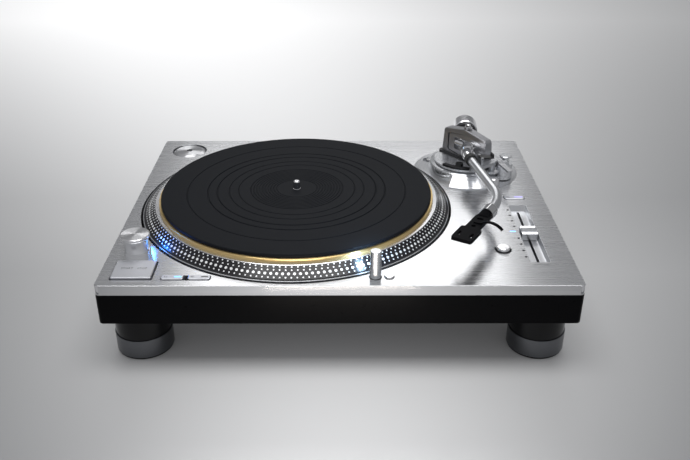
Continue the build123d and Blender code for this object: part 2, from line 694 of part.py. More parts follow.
BOARD_AT = (-120.0, MIDDLE - 118.0)
BOARD_SIZE = (120.0, 50.0)
STANDOFF_GRID = (112.0, 42.0)
STANDOFF_R = 3.0
STANDOFF_H = 4.0
CHIP_GRID = (30.0, 22.0)
CHIP_SIZE = (14.0, 12.0)
CHIP_H = 2.0
with BuildPart() as control_board:
    with BuildSketch(Plane.XY.offset(UNDERBODY_TOP)):
        with Locations(BOARD_AT):
            with GridLocations(*STANDOFF_GRID, 2, 2):
                Circle(STANDOFF_R)
    extrude(amount=STANDOFF_H)
    with BuildSketch(Plane.XY.offset(UNDERBODY_TOP + STANDOFF_H)):
        with Locations(BOARD_AT):
            Rectangle(*BOARD_SIZE)
    extrude(amount=BOARD_T)
    with BuildSketch(Plane.XY.offset(UNDERBODY_TOP + STANDOFF_H + BOARD_T)):
        with Locations(BOARD_AT):
            with GridLocations(*CHIP_GRID, 3, 2):
                Rectangle(*CHIP_SIZE)
    extrude(amount=CHIP_H)
keep(control_board, "control_board")

# The terminal bay in the back wall, with two phono sockets and an earth screw
with BuildPart() as terminal_bay:
    with BuildSketch(Plane.XZ.offset(-BACK)):
        with Locations((BAY_X, DECK + BAY_Z)):
            Rectangle(*BAY_SIZE)
    extrude(amount=BAY_DEEP)
    with BuildSketch(Plane.XZ.offset(-BACK)):
        with Locations((BAY_X, DECK + BAY_Z)):
            Rectangle(BAY_SIZE[0] - 2 * BAY_WALL, BAY_SIZE[1] - 2 * BAY_WALL)
    extrude(amount=BAY_DEEP - BAY_WALL, mode=Mode.SUBTRACT)
keep(terminal_bay, "terminal_bay")

BAY_BACK = BACK - BAY_DEEP + BAY_WALL
PHONO_X = (BAY_X - 22.0, BAY_X + 2.0)
PHONO_PLACES = [(x, DECK + BAY_Z) for x in PHONO_X]
PHONO_FLANGE_R = 6.5
PHONO_FLANGE_T = 2.0
PHONO_R = 4.15
PHONO_BORE_R = 1.6
PHONO_L = 9.0
EARTH_X = BAY_X + 30.0
EARTH_KNOB_R = 5.5
EARTH_KNOB_L = 5.0
EARTH_SCREW_R = 2.0
EARTH_SCREW_L = 4.0
with BuildPart() as rear_terminals:
    with BuildSketch(Plane.XZ.offset(-BAY_BACK)):
        with Locations(*PHONO_PLACES):
            Circle(PHONO_FLANGE_R)
    extrude(amount=-PHONO_FLANGE_T)
    with BuildSketch(Plane.XZ.offset(-BAY_BACK - PHONO_FLANGE_T)):
        with Locations(*PHONO_PLACES):
            Circle(PHONO_R)
            Circle(PHONO_BORE_R, mode=Mode.SUBTRACT)
    extrude(amount=-PHONO_L)
    with BuildSketch(Plane.XZ.offset(-BAY_BACK)):
        with Locations((EARTH_X, DECK + BAY_Z)):
            RegularPolygon(EARTH_KNOB_R, 12)
    extrude(amount=-EARTH_KNOB_L)
    with BuildSketch(Plane.XZ.offset(-BAY_BACK - EARTH_KNOB_L)):
        with Locations((EARTH_X, DECK + BAY_Z)):
            Circle(EARTH_SCREW_R)
    extrude(amount=-EARTH_SCREW_L)
keep(rear_terminals, "rear_terminals")

# The mains inlet: a deep socket with three flat pins
INLET_WALL = 2.5
INLET_BACK = 4.0
INLET_PIN = (2.0, 4.0)
INLET_PIN_L = 11.0
INLET_PIN_APART = 7.0
INLET_PIN_OFF = 2.0
with BuildPart() as mains_inlet:
    with BuildSketch(Plane.XZ.offset(-BACK)):
        with Locations((INLET_X, DECK + BAY_Z)):
            Rectangle(*INLET_SIZE)
    extrude(amount=INLET_DEEP)
    with BuildSketch(Plane.XZ.offset(-BACK)):
        with Locations((INLET_X, DECK + BAY_Z)):
            RectangleRounded(INLET_SIZE[0] - 2 * INLET_WALL, INLET_SIZE[1] - 2 * INLET_WALL, 3.0)
    extrude(amount=INLET_DEEP - INLET_BACK, mode=Mode.SUBTRACT)
    with BuildSketch(Plane.XZ.offset(-BACK + INLET_DEEP - INLET_BACK)):
        with Locations((INLET_X - INLET_PIN_APART, DECK + BAY_Z - INLET_PIN_OFF),
                       (INLET_X + INLET_PIN_APART, DECK + BAY_Z - INLET_PIN_OFF),
                       (INLET_X, DECK + BAY_Z + INLET_PIN_OFF)):
            Rectangle(*INLET_PIN)
    extrude(amount=-INLET_PIN_L)
keep(mains_inlet, "mains_inlet")

# Two sockets on the back that would hold a dust cover's hinges
HINGE_WALL = 4.0
HINGE_BACK_WALL = 5.0
with BuildPart() as hinge_sockets:
    with BuildSketch(Plane.XY.offset(HINGE_TOP)):
        with Locations((-HINGE_X, BACK + HINGE_REACH / 2), (HINGE_X, BACK + HINGE_REACH / 2)):
            Rectangle(HINGE_SIZE[0], HINGE_REACH)
    extrude(amount=-HINGE_SIZE[1])
    fillet(hinge_sockets.edges().filter_by(Axis.Z).group_by(Axis.Y)[-1], 3.0)
    with BuildSketch(Plane.XY.offset(HINGE_TOP)):
        with Locations((-HINGE_X, BACK + HINGE_REACH / 2), (HINGE_X, BACK + HINGE_REACH / 2)):
            Rectangle(HINGE_SIZE[0] - 2 * HINGE_WALL, HINGE_REACH - 2 * HINGE_BACK_WALL)
    extrude(amount=HINGE_WALL - HINGE_SIZE[1], mode=Mode.SUBTRACT)
keep(hinge_sockets, "hinge_sockets")

# The tonearm's base: a round plate let into the deck, with a sloping scale apron in front
PIVOT_AXIS = Axis((PIVOT[0], PIVOT[1], DECK), (0, 0, 1))
APRON_FROM = -116.0
APRON_ARC = 44.0
LOCK = (PIVOT[0] - 40.9, PIVOT[1] + 29.5)
SKATE_AT = (PIVOT[0] + 25.9, PIVOT[1] - 44.5)
DIAL_PIN_R = 1.5
DIAL_PIN = 8.0
APRON_GAP = 0.6
APRON_FOOT_R = 57.0
APRON_FOOT_H = 1.4
APRON_TOP_R = RING_R + 2.0
APRON_TOP_H = 11.4
LOCK_WELL_R = 7.0
LOCK_WELL = 4.5
PIN_SPARE = 0.5
with BuildPart() as arm_base_plate:
    with BuildSketch(deck_plane(-PLATE_T)):
        with Locations(PIVOT):
            Circle(BASE_R)
            Circle(COLUMN_R + FIT, mode=Mode.SUBTRACT)
        with Locations(SPINDLE):
            Circle(WELL_R, mode=Mode.SUBTRACT)
    extrude(amount=PLATE_T)
    apron_start = Plane(origin=(PIVOT[0], PIVOT[1], DECK),
                        x_dir=(cos(radians(APRON_FROM)), sin(radians(APRON_FROM)), 0),
                        z_dir=(sin(radians(APRON_FROM)), -cos(radians(APRON_FROM)), 0))
    with BuildSketch(apron_start):
        Polygon((RING_R + APRON_GAP, 0.0), (APRON_FOOT_R, 0.0), (APRON_FOOT_R, APRON_FOOT_H),
                (APRON_TOP_R, APRON_TOP_H), (RING_R + APRON_GAP, APRON_TOP_H), align=None)
    revolve(axis=PIVOT_AXIS, revolution_arc=APRON_ARC)
    with BuildSketch(deck_plane()):
        with Locations(LOCK):
            Circle(LOCK_WELL_R)
    extrude(amount=-LOCK_WELL, mode=Mode.SUBTRACT)
    with BuildSketch(deck_plane()):
        with Locations(LOCK, SKATE_AT):
            Circle(DIAL_PIN_R + FIT)
    extrude(amount=-DIAL_PIN - PIN_SPARE, mode=Mode.SUBTRACT)
keep(arm_base_plate, "arm_base_plate")

# The small lever that locks the arm's height
LEVER_FLOOR = 4.0
LEVER_BOSS_R = 2.9
LEVER_T = 4.8
LEVER_BAR = (5.6, 2.6)
LEVER_REACH = (2.8, 2.4)
LEVER_TURN = 40.6
LEVER_PIN_TOP = 3.0
with BuildPart() as lock_lever:
    with BuildSketch(deck_plane(-LEVER_FLOOR)):
        with Locations(LOCK):
            Circle(LEVER_BOSS_R)
        with Locations((LOCK[0] + LEVER_REACH[0], LOCK[1] + LEVER_REACH[1])):
            Rectangle(*LEVER_BAR, rotation=LEVER_TURN)
    extrude(amount=LEVER_T)
    with BuildSketch(deck_plane(-DIAL_PIN)):
        with Locations(LOCK):
            Circle(DIAL_PIN_R)
    extrude(amount=DIAL_PIN - LEVER_PIN_TOP)
keep(lock_lever, "lock_lever")

# The ring that turns to raise the arm
with BuildPart() as height_ring:
    with BuildSketch(deck_plane(RING_BOTTOM)):
        with Locations(PIVOT):
            Circle(RING_R)
            Circle(COLUMN_R + FIT, mode=Mode.SUBTRACT)
    extrude(amount=RING_TOP - RING_BOTTOM)
    chamfer(height_ring.faces().sort_by(Axis.Z)[-1].outer_wire().edges(), 1.2)
keep(height_ring, "height_ring")

# The carrier that the ring lifts: a column, a platform with three lobes, a pod and its posts
POD_AT = (PIVOT[0] + POD[0], PIVOT[1] + POD[1])
POD_BOTTOM = 1.0
POD_GAP = 0.8
COLUMN_BOTTOM = -9.0
REST_AT = (PIVOT[0] + 25.2, PIVOT[1] - 33.6)
REST_LOBE_R = 8.0
LIFT_ANGLE = radians(-115.0)
LIFT_DISTANCE = 25.0
LIFT_AT = (PIVOT[0] + LIFT_DISTANCE * cos(LIFT_ANGLE), PIVOT[1] + LIFT_DISTANCE * sin(LIFT_ANGLE))
LIFT_R = 3.0
LIFT_BORE = 21.0
CUE_Z = 23.0
CUE_AT = (PIVOT[0] + 33.7, PIVOT[1] - 33.6)
CUE_TURN = 17.0
CUE_HALF = 3.0
AXLE_R = 1.5
AXLE_BOSS_R = 2.8
AXLE_BOSS_L = 5.0
AXLE_BOSS_GAP = 0.4
CUE_FORWARD = Vector(sin(radians(CUE_TURN)), -cos(radians(CUE_TURN)), 0)
CUE_RIGHT = Vector(cos(radians(CUE_TURN)), sin(radians(CUE_TURN)), 0)
CUE_CENTRE = Vector(CUE_AT[0], CUE_AT[1], DECK + CUE_Z)
STAND_AT = (PIVOT[0] + 39.6, PIVOT[1] - 30.2)
STAND_SIZE = (4.6, 6.0)
POST_AT = (PIVOT[0] + 42.5, PIVOT[1] - 22.0)
POST_R = 4.2
POST_H = 7.4
POST_CAP_R = 7.2
POST_CAP_H = 2.0
with BuildPart() as arm_carrier:
    with BuildSketch(deck_plane(PLATFORM_BOTTOM)):
        with Locations(PIVOT):
            Circle(PLATFORM_R)
        with Locations(POD_AT):
            Circle(POD_R)
        with Locations(REST_AT):
            Circle(REST_LOBE_R)
    extrude(amount=PLATFORM_TOP - PLATFORM_BOTTOM)
    with BuildSketch(deck_plane(COLUMN_BOTTOM)):
        with Locations(PIVOT):
            Circle(COLUMN_R)
    extrude(amount=PLATFORM_BOTTOM - COLUMN_BOTTOM)
    with BuildSketch(deck_plane(POD_BOTTOM)):
        with Locations(POD_AT):
            Circle(POD_R)
        with Locations(PIVOT):
            Circle(RING_R + POD_GAP, mode=Mode.SUBTRACT)
    extrude(amount=PLATFORM_BOTTOM - POD_BOTTOM)
    with BuildSketch(deck_plane(PLATFORM_TOP)):
        with Locations(POD_AT):
            Circle(POD_R)
    extrude(amount=POD_TOP - PLATFORM_TOP)
    with BuildSketch(deck_plane(POD_TOP)):
        with Locations(POST_AT):
            Circle(POST_R)
    extrude(amount=POST_H)
    with BuildSketch(deck_plane(POD_TOP + POST_H)):
        with Locations(POST_AT):
            Circle(POST_CAP_R)
    extrude(amount=POST_CAP_H)
    chamfer(arm_carrier.edges().group_by(Axis.Z)[-1], 0.6)
    with BuildSketch(Plane(origin=CUE_CENTRE + CUE_RIGHT * (CUE_HALF + AXLE_BOSS_GAP), x_dir=(0, 0, 1),
                           z_dir=CUE_RIGHT)):
        Circle(AXLE_BOSS_R)
    extrude(amount=AXLE_BOSS_L)
    with BuildSketch(deck_plane(PLATFORM_TOP)):
        with Locations(STAND_AT):
            Rectangle(*STAND_SIZE, rotation=CUE_TURN)
    extrude(amount=CUE_Z - PLATFORM_TOP)
    with BuildSketch(Plane(origin=CUE_CENTRE - CUE_RIGHT * CUE_HALF, x_dir=(0, 0, 1), z_dir=CUE_RIGHT)):
        Circle(AXLE_R)
    extrude(amount=2 * CUE_HALF + AXLE_BOSS_GAP + 0.6)
    with BuildSketch(deck_plane(PLATFORM_TOP)):
        with Locations(LIFT_AT):
            Circle(LIFT_R + FIT)
    extrude(amount=-LIFT_BORE, mode=Mode.SUBTRACT)
    with BuildSketch(BRACKET_PLANE.offset(-BRACKET_T / 2)):
        Polygon(*bracket_outline(), align=None)
    extrude(amount=BRACKET_T, mode=Mode.SUBTRACT)
keep(arm_carrier, "arm_carrier")

# The black shoe that holds the gimbal bracket's lower corners
SHOE_H = 1.8
SHOE_MARGIN = 3.0
with BuildPart() as bracket_foot:
    with BuildSketch(Plane(origin=(PIVOT[0], PIVOT[1], DECK + PLATFORM_TOP), x_dir=BRACKET_ALONG,
                           z_dir=(0, 0, 1))):
        RectangleRounded(2 * (BRACKET_HALF + BRACKET_FLARE + SHOE_MARGIN), BRACKET_T + 2 * SHOE_MARGIN,
                         SHOE_MARGIN)
    extrude(amount=SHOE_H)
    with BuildSketch(deck_plane(PLATFORM_TOP)):
        with Locations(POD_AT):
            Circle(POD_R)
    extrude(amount=SHOE_H, mode=Mode.SUBTRACT)
    with BuildSketch(BRACKET_PLANE.offset(-BRACKET_T / 2)):
        Polygon(*bracket_outline(), align=None)
    extrude(amount=BRACKET_T, mode=Mode.SUBTRACT)
keep(bracket_foot, "bracket_foot")

# The fixed gimbal bracket: an arched frame with bearing cups above and below
PIVOT_PIN_R = 1.5
PIVOT_PIN = 2.6
PIN_END_GAP = 0.4
with BuildPart() as gimbal_bracket:
    with BuildSketch(BRACKET_PLANE.offset(-BRACKET_T / 2)):
        Polygon(*bracket_outline(), align=None)
    extrude(amount=BRACKET_T)
    upright = gimbal_bracket.edges().filter_by(Axis(ARM_CENTRE, BRACKET_OUT))
    fillet(upright.sort_by(Axis.Z)[-3:-1], 4.0)
    with BuildSketch(BRACKET_PLANE.offset(-BRACKET_T / 2)):
        opening = Polygon(*arched(OPENING_HALF, OPENING_SIDE, OPENING_MID), align=None)
        fillet(opening.vertices().group_by(Axis.X)[0] + opening.vertices().group_by(Axis.X)[-1], 3.0)
    extrude(amount=BRACKET_T, mode=Mode.SUBTRACT)
    chamfer(gimbal_bracket.faces().sort_by(Axis(ARM_CENTRE, BRACKET_OUT))[-1].outer_wire().edges(), 0.8)
    with BuildSketch(deck_plane(ARM_Z - GIMBAL_MID - PIVOT_PIN - PIN_END_GAP)):
        with Locations(PIVOT):
            Circle(PIVOT_PIN_R + FIT)
    extrude(amount=2 * (GIMBAL_MID + PIVOT_PIN + PIN_END_GAP), mode=Mode.SUBTRACT)
keep(gimbal_bracket, "gimbal_bracket")

# The slotted screw and lock nut of the upper bearing
NUT_R = 5.0
NUT_T = 2.4
SCREW_R = 3.0
SCREW_H = 3.6
SCREW_SLOT = (8.0, 0.9)
SCREW_SLOT_DEEP = 1.2
with BuildPart() as pivot_screw:
    with BuildSketch(deck_plane(BRACKET_TOP)):
        with Locations(PIVOT):
            RegularPolygon(NUT_R, 6)
    extrude(amount=NUT_T)
    with BuildSketch(deck_plane(BRACKET_TOP + NUT_T)):
        with Locations(PIVOT):
            Circle(SCREW_R)
    extrude(amount=SCREW_H)
    chamfer(pivot_screw.edges().group_by(Axis.Z)[-1], 0.5)
    with BuildSketch(deck_plane(BRACKET_TOP + NUT_T + SCREW_H)):
        with Locations(PIVOT):
            Rectangle(*SCREW_SLOT, rotation=30)
    extrude(amount=-SCREW_SLOT_DEEP, mode=Mode.SUBTRACT)
keep(pivot_screw, "pivot_screw")

# The gimbal ring: it turns on the bracket's pins and carries the arm on a level axis
ARM_PIN_R = 1.2
ARM_PIN_HALF = 21.0
with BuildPart() as gimbal_ring:
    with BuildSketch(BRACKET_PLANE.offset(-GIMBAL_T / 2)):
        ring = Polygon(*arched(GIMBAL_HALF, GIMBAL_SIDE, GIMBAL_MID), align=None)
        fillet(ring.vertices().group_by(Axis.X)[0] + ring.vertices().group_by(Axis.X)[-1], 3.0)
        RectangleRounded(*GIMBAL_HOLE, 1.5, mode=Mode.SUBTRACT)
    extrude(amount=GIMBAL_T)
    with BuildSketch(deck_plane(ARM_Z + GIMBAL_MID - 1.0)):
        with Locations(PIVOT):
            Circle(PIVOT_PIN_R)
    extrude(amount=PIVOT_PIN + 1.0)
    with BuildSketch(deck_plane(ARM_Z - GIMBAL_MID + 1.0)):
        with Locations(PIVOT):
            Circle(PIVOT_PIN_R)
    extrude(amount=-PIVOT_PIN - 1.0)
    with BuildSketch(Plane(origin=ARM_CENTRE - BRACKET_ALONG * (ARM_PIN_HALF + PIN_END_GAP),
                           x_dir=(0, 0, 1), z_dir=BRACKET_ALONG)):
        Circle(ARM_PIN_R + FIT)
    extrude(amount=2 * (ARM_PIN_HALF + PIN_END_GAP), mode=Mode.SUBTRACT)
keep(gimbal_ring, "gimbal_ring")

# The arm's middle: cross shaft in the gimbal, barrel, bent nose and the stub behind it
SHAFT_HALF = GIMBAL_HOLE[0] / 2 - 0.4
SHAFT_COVER_R = 4.2
BARREL_R = 5.8
BARREL_REAR = -12.0
BARREL_FRONT = 10.0
CUFF_R = 7.6
CUFF_FRONT = 19.0
CUFF_REAR = -16.0
NOSE_R = 6.3
NOSE_END = 6.5
STUB_END = -68.0
with BuildPart() as arm_block:
    with BuildSketch(Plane(origin=ARM_CENTRE - BRACKET_ALONG * ARM_PIN_HALF, x_dir=(0, 0, 1),
                           z_dir=BRACKET_ALONG)):
        Circle(ARM_PIN_R)
    extrude(amount=2 * ARM_PIN_HALF)
    with BuildSketch(Plane(origin=ARM_CENTRE - BRACKET_ALONG * SHAFT_HALF, x_dir=(0, 0, 1),
                           z_dir=BRACKET_ALONG)):
        Circle(SHAFT_COVER_R)
    extrude(amount=2 * SHAFT_HALF)
    with BuildSketch(arm_section(BARREL_REAR)):
        Circle(BARREL_R)
    extrude(amount=BARREL_FRONT - BARREL_REAR)
    with BuildSketch(arm_section(BARREL_FRONT)):
        Circle(CUFF_R)
    extrude(amount=CUFF_FRONT - BARREL_FRONT)
    with BuildSketch(arm_section(CUFF_REAR)):
        Circle(CUFF_R)
    extrude(amount=BARREL_REAR - CUFF_REAR + 1.0)
    with BuildSketch(arm_section(CUFF_FRONT)):
        Circle(NOSE_R)
    extrude(amount=FIRST_BEND[0] - CUFF_FRONT)
    with Locations(Location(along_arm(*FIRST_BEND))):
        Sphere(NOSE_R)
    with BuildSketch(along_tube(0)):
        Circle(NOSE_R)
    extrude(amount=NOSE_END)
    with BuildSketch(along_tube(NOSE_END)):
        Circle(TUBE_R)
    extrude(amount=2 * NOSE_R, mode=Mode.SUBTRACT)
    with BuildSketch(arm_section(STUB_END)):
        Circle(STUB_R)
    extrude(amount=CUFF_REAR - STUB_END)
keep(arm_block, "arm_block")

RUBBER_R = 6.6
RUBBER_L = 7.5
with BuildPart() as tube_rubber_ring:
    with BuildSketch(along_tube(NOSE_END)):
        Circle(RUBBER_R)
        Circle(TUBE_R, mode=Mode.SUBTRACT)
    extrude(amount=RUBBER_L)
keep(tube_rubber_ring, "tube_rubber_ring")

# The S-shaped arm tube: straight runs joined by tangent arcs, swept in one level plane
TUBE_BEND_R = 70.0
TUBE_LAP = 0.2
tube_start = along_arm(*FIRST_BEND) + TUBE_FORWARD * NOSE_END
with BuildPart() as arm_tube:
    with BuildLine():
        FilletPolyline(tube_start, along_arm(*SECOND_BEND), COLLAR_CENTRE - HEAD_FORWARD * TUBE_LAP,
                       radius=TUBE_BEND_R)
    with BuildSketch(along_tube(NOSE_END)):
        Circle(TUBE_R)
    sweep()
keep(arm_tube, "arm_tube")

# The counterweight on the stub, hollowed at the back, and its numbered force dial
WEIGHT_END = -65.0
WEIGHT_R = 14.8
WEIGHT_L = 21.6
WEIGHT_HOLLOW = (8.5, 12.5)
WEIGHT_HOLLOW_DEEP = 7.0
with BuildPart() as counterweight:
    with BuildSketch(arm_section(WEIGHT_END)):
        Circle(WEIGHT_R)
        Circle(STUB_R + FIT, mode=Mode.SUBTRACT)
    extrude(amount=WEIGHT_L)
    chamfer(counterweight.edges().filter_by(GeomType.CIRCLE).sort_by(SortBy.RADIUS)[-2:], 1.2)
    with BuildSketch(arm_section(WEIGHT_END)):
        Circle(WEIGHT_HOLLOW[1])
        Circle(WEIGHT_HOLLOW[0], mode=Mode.SUBTRACT)
    extrude(amount=WEIGHT_HOLLOW_DEEP, mode=Mode.SUBTRACT)
keep(counterweight, "counterweight")

DIAL_START = -43.0
DIAL_R = 12.8
DIAL_L = 4.2
with BuildPart() as pressure_dial:
    with BuildSketch(arm_section(DIAL_START)):
        Circle(DIAL_R)
        Circle(STUB_R + FIT, mode=Mode.SUBTRACT)
    extrude(amount=DIAL_L)
    chamfer(pressure_dial.edges().filter_by(GeomType.CIRCLE).sort_by(SortBy.RADIUS)[-2:], 0.4)
keep(pressure_dial, "pressure_dial")

# The bayonet collar that clamps the headshell
COLLAR_HALF = 6.5
with BuildPart() as locking_collar:
    with BuildSketch(head_section(-COLLAR_HALF)):
        Circle(COLLAR_R)
        Circle(TUBE_R + FIT, mode=Mode.SUBTRACT)
    extrude(amount=2 * COLLAR_HALF)
keep(locking_collar, "locking_collar")

# The headshell: plug, rear block and a stepped plate with two slots for a cartridge
SHELL_OUTLINE = [(12.0, 5.6), (16.0, 7.0), (41.5, 7.0), (43.0, 10.4), (64.0, 10.4), (68.0, 9.6)]
SLOT_SPACING = 12.7
SLOT_MIDDLE = 57.5
PLUG_START = 0.3
PLUG_L = 9.2
SHELL_BOTTOM = -1.2
SHELL_TOP = 2.4
NECK_FROM = 7.0
NECK_R = 6.2
NECK_TO = 15.0
NECK_SIZE = (12.6, 7.6)
NECK_DROP = 0.8
CARTRIDGE_SLOT = (9.0, 2.7)
SHELL_HOLE_AT = 38.0
SHELL_HOLE_R = 2.4
REAR_SLOT_AT = 21.5
REAR_SLOT = (7.0, 4.0)
with BuildPart() as headshell:
    with BuildSketch(head_section(PLUG_START)):
        Circle(PLUG_R)
    extrude(amount=PLUG_L)
    with BuildSketch(head_section(NECK_FROM)):
        Circle(NECK_R)
    with BuildSketch(head_section(NECK_TO)):
        with Locations((0, -NECK_DROP)):
            RectangleRounded(*NECK_SIZE, 2.0)
    loft()
    with BuildSketch(head_level(SHELL_BOTTOM)):
        Polygon(*SHELL_OUTLINE, *[(x, -y) for x, y in reversed(SHELL_OUTLINE)], align=None)
        with Locations((SLOT_MIDDLE, SLOT_SPACING / 2), (SLOT_MIDDLE, -SLOT_SPACING / 2)):
            SlotOverall(*CARTRIDGE_SLOT, mode=Mode.SUBTRACT)
        with Locations((SHELL_HOLE_AT, 0.0)):
            Circle(SHELL_HOLE_R, mode=Mode.SUBTRACT)
        with Locations((REAR_SLOT_AT, 0.0)):
            SlotOverall(*REAR_SLOT, rotation=90, mode=Mode.SUBTRACT)
    extrude(amount=SHELL_TOP - SHELL_BOTTOM)
keep(headshell, "headshell")

# The finger lift: a thin strip that arches out to the right of the headshell
FINGER_AT = 29.0
FINGER_W = 3.2
FINGER_T = 1.2
FINGER_FLAT = (-2.5, 4.0)
FINGER_ARCH = (15.0, 5.6)
FINGER_ARCH_TOP = (15.4, 6.9)
FINGER_TIP = (26.0, 0.6)
FINGER_TIP_TOP = (27.0, 1.8)
with BuildPart() as finger_lift:
    with BuildSketch(head_section(FINGER_AT)):
        with BuildLine():
            Line((FINGER_FLAT[0], SHELL_TOP), (FINGER_FLAT[1], SHELL_TOP))
            ThreePointArc((FINGER_FLAT[1], SHELL_TOP), FINGER_ARCH, FINGER_TIP)
            Line(FINGER_TIP, FINGER_TIP_TOP)
            ThreePointArc(FINGER_TIP_TOP, FINGER_ARCH_TOP, (FINGER_FLAT[1], SHELL_TOP + FINGER_T))
            Polyline((FINGER_FLAT[1], SHELL_TOP + FINGER_T), (FINGER_FLAT[0], SHELL_TOP + FINGER_T),
                     (FINGER_FLAT[0], SHELL_TOP))
        make_face()
    extrude(amount=FINGER_W)
keep(finger_lift, "finger_lift")

# The arm rest beside the tube, and the clip that folds over to hold it
REST_POINT = 52.5
REST_LEFT = -(REST_POINT - FIRST_BEND[0]) * tan(TUBE_ANGLE)
REST_CENTRE = along_arm(REST_POINT, REST_LEFT)
CLIP_Z = 6.7
CLIP_OUT = 7.7
CLIP_L = 8.0
CLIP_PIN_R = 0.7
UPRIGHT_T = 2.6
UPRIGHT_L = 12.0
REST_LEVEL = -9.2
REST_BAR_W = 8.0
REST_BAR_T = 3.6
CLIP_AXIS_AT = REST_CENTRE + TUBE_RIGHT * CLIP_OUT + Vector(0, 0, CLIP_Z)
rest_bar = Vector(REST_AT[0], REST_AT[1], REST_CENTRE.Z) - REST_CENTRE
with BuildPart() as arm_rest:
    with BuildSketch(deck_plane(PLATFORM_TOP)):
        with Locations(REST_AT):
            Circle(3.6)
    extrude(amount=ARM_Z + REST_LEVEL + REST_BAR_T - PLATFORM_TOP)
    with BuildSketch(Plane(origin=REST_CENTRE + Vector(0, 0, REST_LEVEL), x_dir=rest_bar,
                           z_dir=(0, 0, 1))):
        with Locations((rest_bar.length / 2, 0)):
            SlotOverall(rest_bar.length + REST_BAR_W, REST_BAR_W)
    extrude(amount=REST_BAR_T)
    with BuildSketch(Plane(origin=REST_CENTRE + TUBE_RIGHT * CLIP_OUT + Vector(0, 0, REST_LEVEL),
                           x_dir=TUBE_RIGHT, z_dir=(0, 0, 1))):
        Rectangle(UPRIGHT_T, UPRIGHT_L)
    extrude(amount=CLIP_Z + 1.5 - REST_LEVEL)
    with BuildSketch(Plane(origin=CLIP_AXIS_AT - Vector(0, 0, 1.6), x_dir=TUBE_RIGHT, z_dir=(0, 0, 1))):
        Rectangle(UPRIGHT_T + 2.0, CLIP_L + 0.6)
    extrude(amount=4.0, mode=Mode.SUBTRACT)
    with BuildSketch(Plane(origin=CLIP_AXIS_AT - TUBE_FORWARD * UPRIGHT_L / 2, x_dir=TUBE_RIGHT,
                           z_dir=TUBE_FORWARD)):
        Circle(CLIP_PIN_R + FIT)
    extrude(amount=UPRIGHT_L, mode=Mode.SUBTRACT)
keep(arm_rest, "arm_rest")

CLIP_HUB_R = 1.3
CLIP_BAR = (14.0, 1.6)
CLIP_HOOK_H = 4.0
with BuildPart() as arm_clip:
    with BuildSketch(Plane(origin=CLIP_AXIS_AT - TUBE_FORWARD * CLIP_L / 2, x_dir=TUBE_RIGHT,
                           z_dir=TUBE_FORWARD)):
        Circle(CLIP_HUB_R)
        with Locations((CLIP_BAR[0] / 2, 0)):
            Rectangle(*CLIP_BAR)
        with Locations((CLIP_BAR[0] - CLIP_BAR[1] / 2, CLIP_HOOK_H / 2)):
            Rectangle(CLIP_BAR[1], CLIP_HOOK_H)
    extrude(amount=CLIP_L)
    with BuildSketch(Plane(origin=CLIP_AXIS_AT - TUBE_FORWARD * (UPRIGHT_L / 2 - 0.2), x_dir=TUBE_RIGHT,
                           z_dir=TUBE_FORWARD)):
        Circle(CLIP_PIN_R)
    extrude(amount=UPRIGHT_L - 0.4)
keep(arm_clip, "arm_clip")

# The cue lifter: a plunger with a curved rail under the arm tube
RAIL_R = 36.0
RAIL_W = 5.6
RAIL_T = 2.8
RAIL_BOTTOM = 15.6
RAIL_FROM = -142.0
RAIL_ARC = 58.0
RAIL_ROUND = 0.8
LIFT_STEM_BOTTOM = -4.0
LIFT_HEAD_R = 4.4
LIFT_LINK = (10.0, 6.0)
with BuildPart() as cue_lifter:
    with BuildSketch(deck_plane(LIFT_STEM_BOTTOM)):
        with Locations(LIFT_AT):
            Circle(LIFT_R)
    extrude(amount=RAIL_BOTTOM - LIFT_STEM_BOTTOM)
    with BuildSketch(deck_plane(RAIL_BOTTOM)):
        with Locations(LIFT_AT):
            Circle(LIFT_HEAD_R)
    extrude(amount=RAIL_T)
    with BuildSketch(Plane(origin=(PIVOT[0], PIVOT[1], DECK + RAIL_BOTTOM),
                           x_dir=(cos(LIFT_ANGLE), sin(LIFT_ANGLE), 0), z_dir=(0, 0, 1))):
        with Locations((LIFT_DISTANCE + LIFT_LINK[0] / 2, 0)):
            Rectangle(*LIFT_LINK)
    extrude(amount=RAIL_T)
    rail_angle = radians(RAIL_FROM)
    rail_start = Plane(origin=(PIVOT[0], PIVOT[1], DECK), x_dir=(cos(rail_angle), sin(rail_angle), 0),
                       z_dir=(sin(rail_angle), -cos(rail_angle), 0))
    with BuildSketch(rail_start):
        with Locations((RAIL_R, RAIL_BOTTOM + RAIL_T / 2)):
            RectangleRounded(RAIL_W, RAIL_T, RAIL_ROUND)
    revolve(axis=PIVOT_AXIS, revolution_arc=RAIL_ARC)
keep(cue_lifter, "cue_lifter")

# The cue lever on its short axle
LEVER_HUB_R = 3.4
LEVER_SIZE = (26.0, 2.2)
LEVER_DROP = 0.6
LEVER_MIDDLE = 14.0
with BuildPart() as cue_lever:
    with BuildSketch(Plane(origin=CUE_CENTRE - CUE_RIGHT * CUE_HALF, x_dir=CUE_FORWARD, z_dir=CUE_RIGHT)):
        Circle(LEVER_HUB_R)
        with Locations((LEVER_MIDDLE, -LEVER_DROP)):
            Rectangle(*LEVER_SIZE)
        Circle(AXLE_R + FIT, mode=Mode.SUBTRACT)
    extrude(amount=2 * CUE_HALF)
    fillet(cue_lever.edges().filter_by(Axis.Z).sort_by(Axis(CUE_CENTRE, CUE_FORWARD))[-2:], 2.0)
keep(cue_lever, "cue_lever")

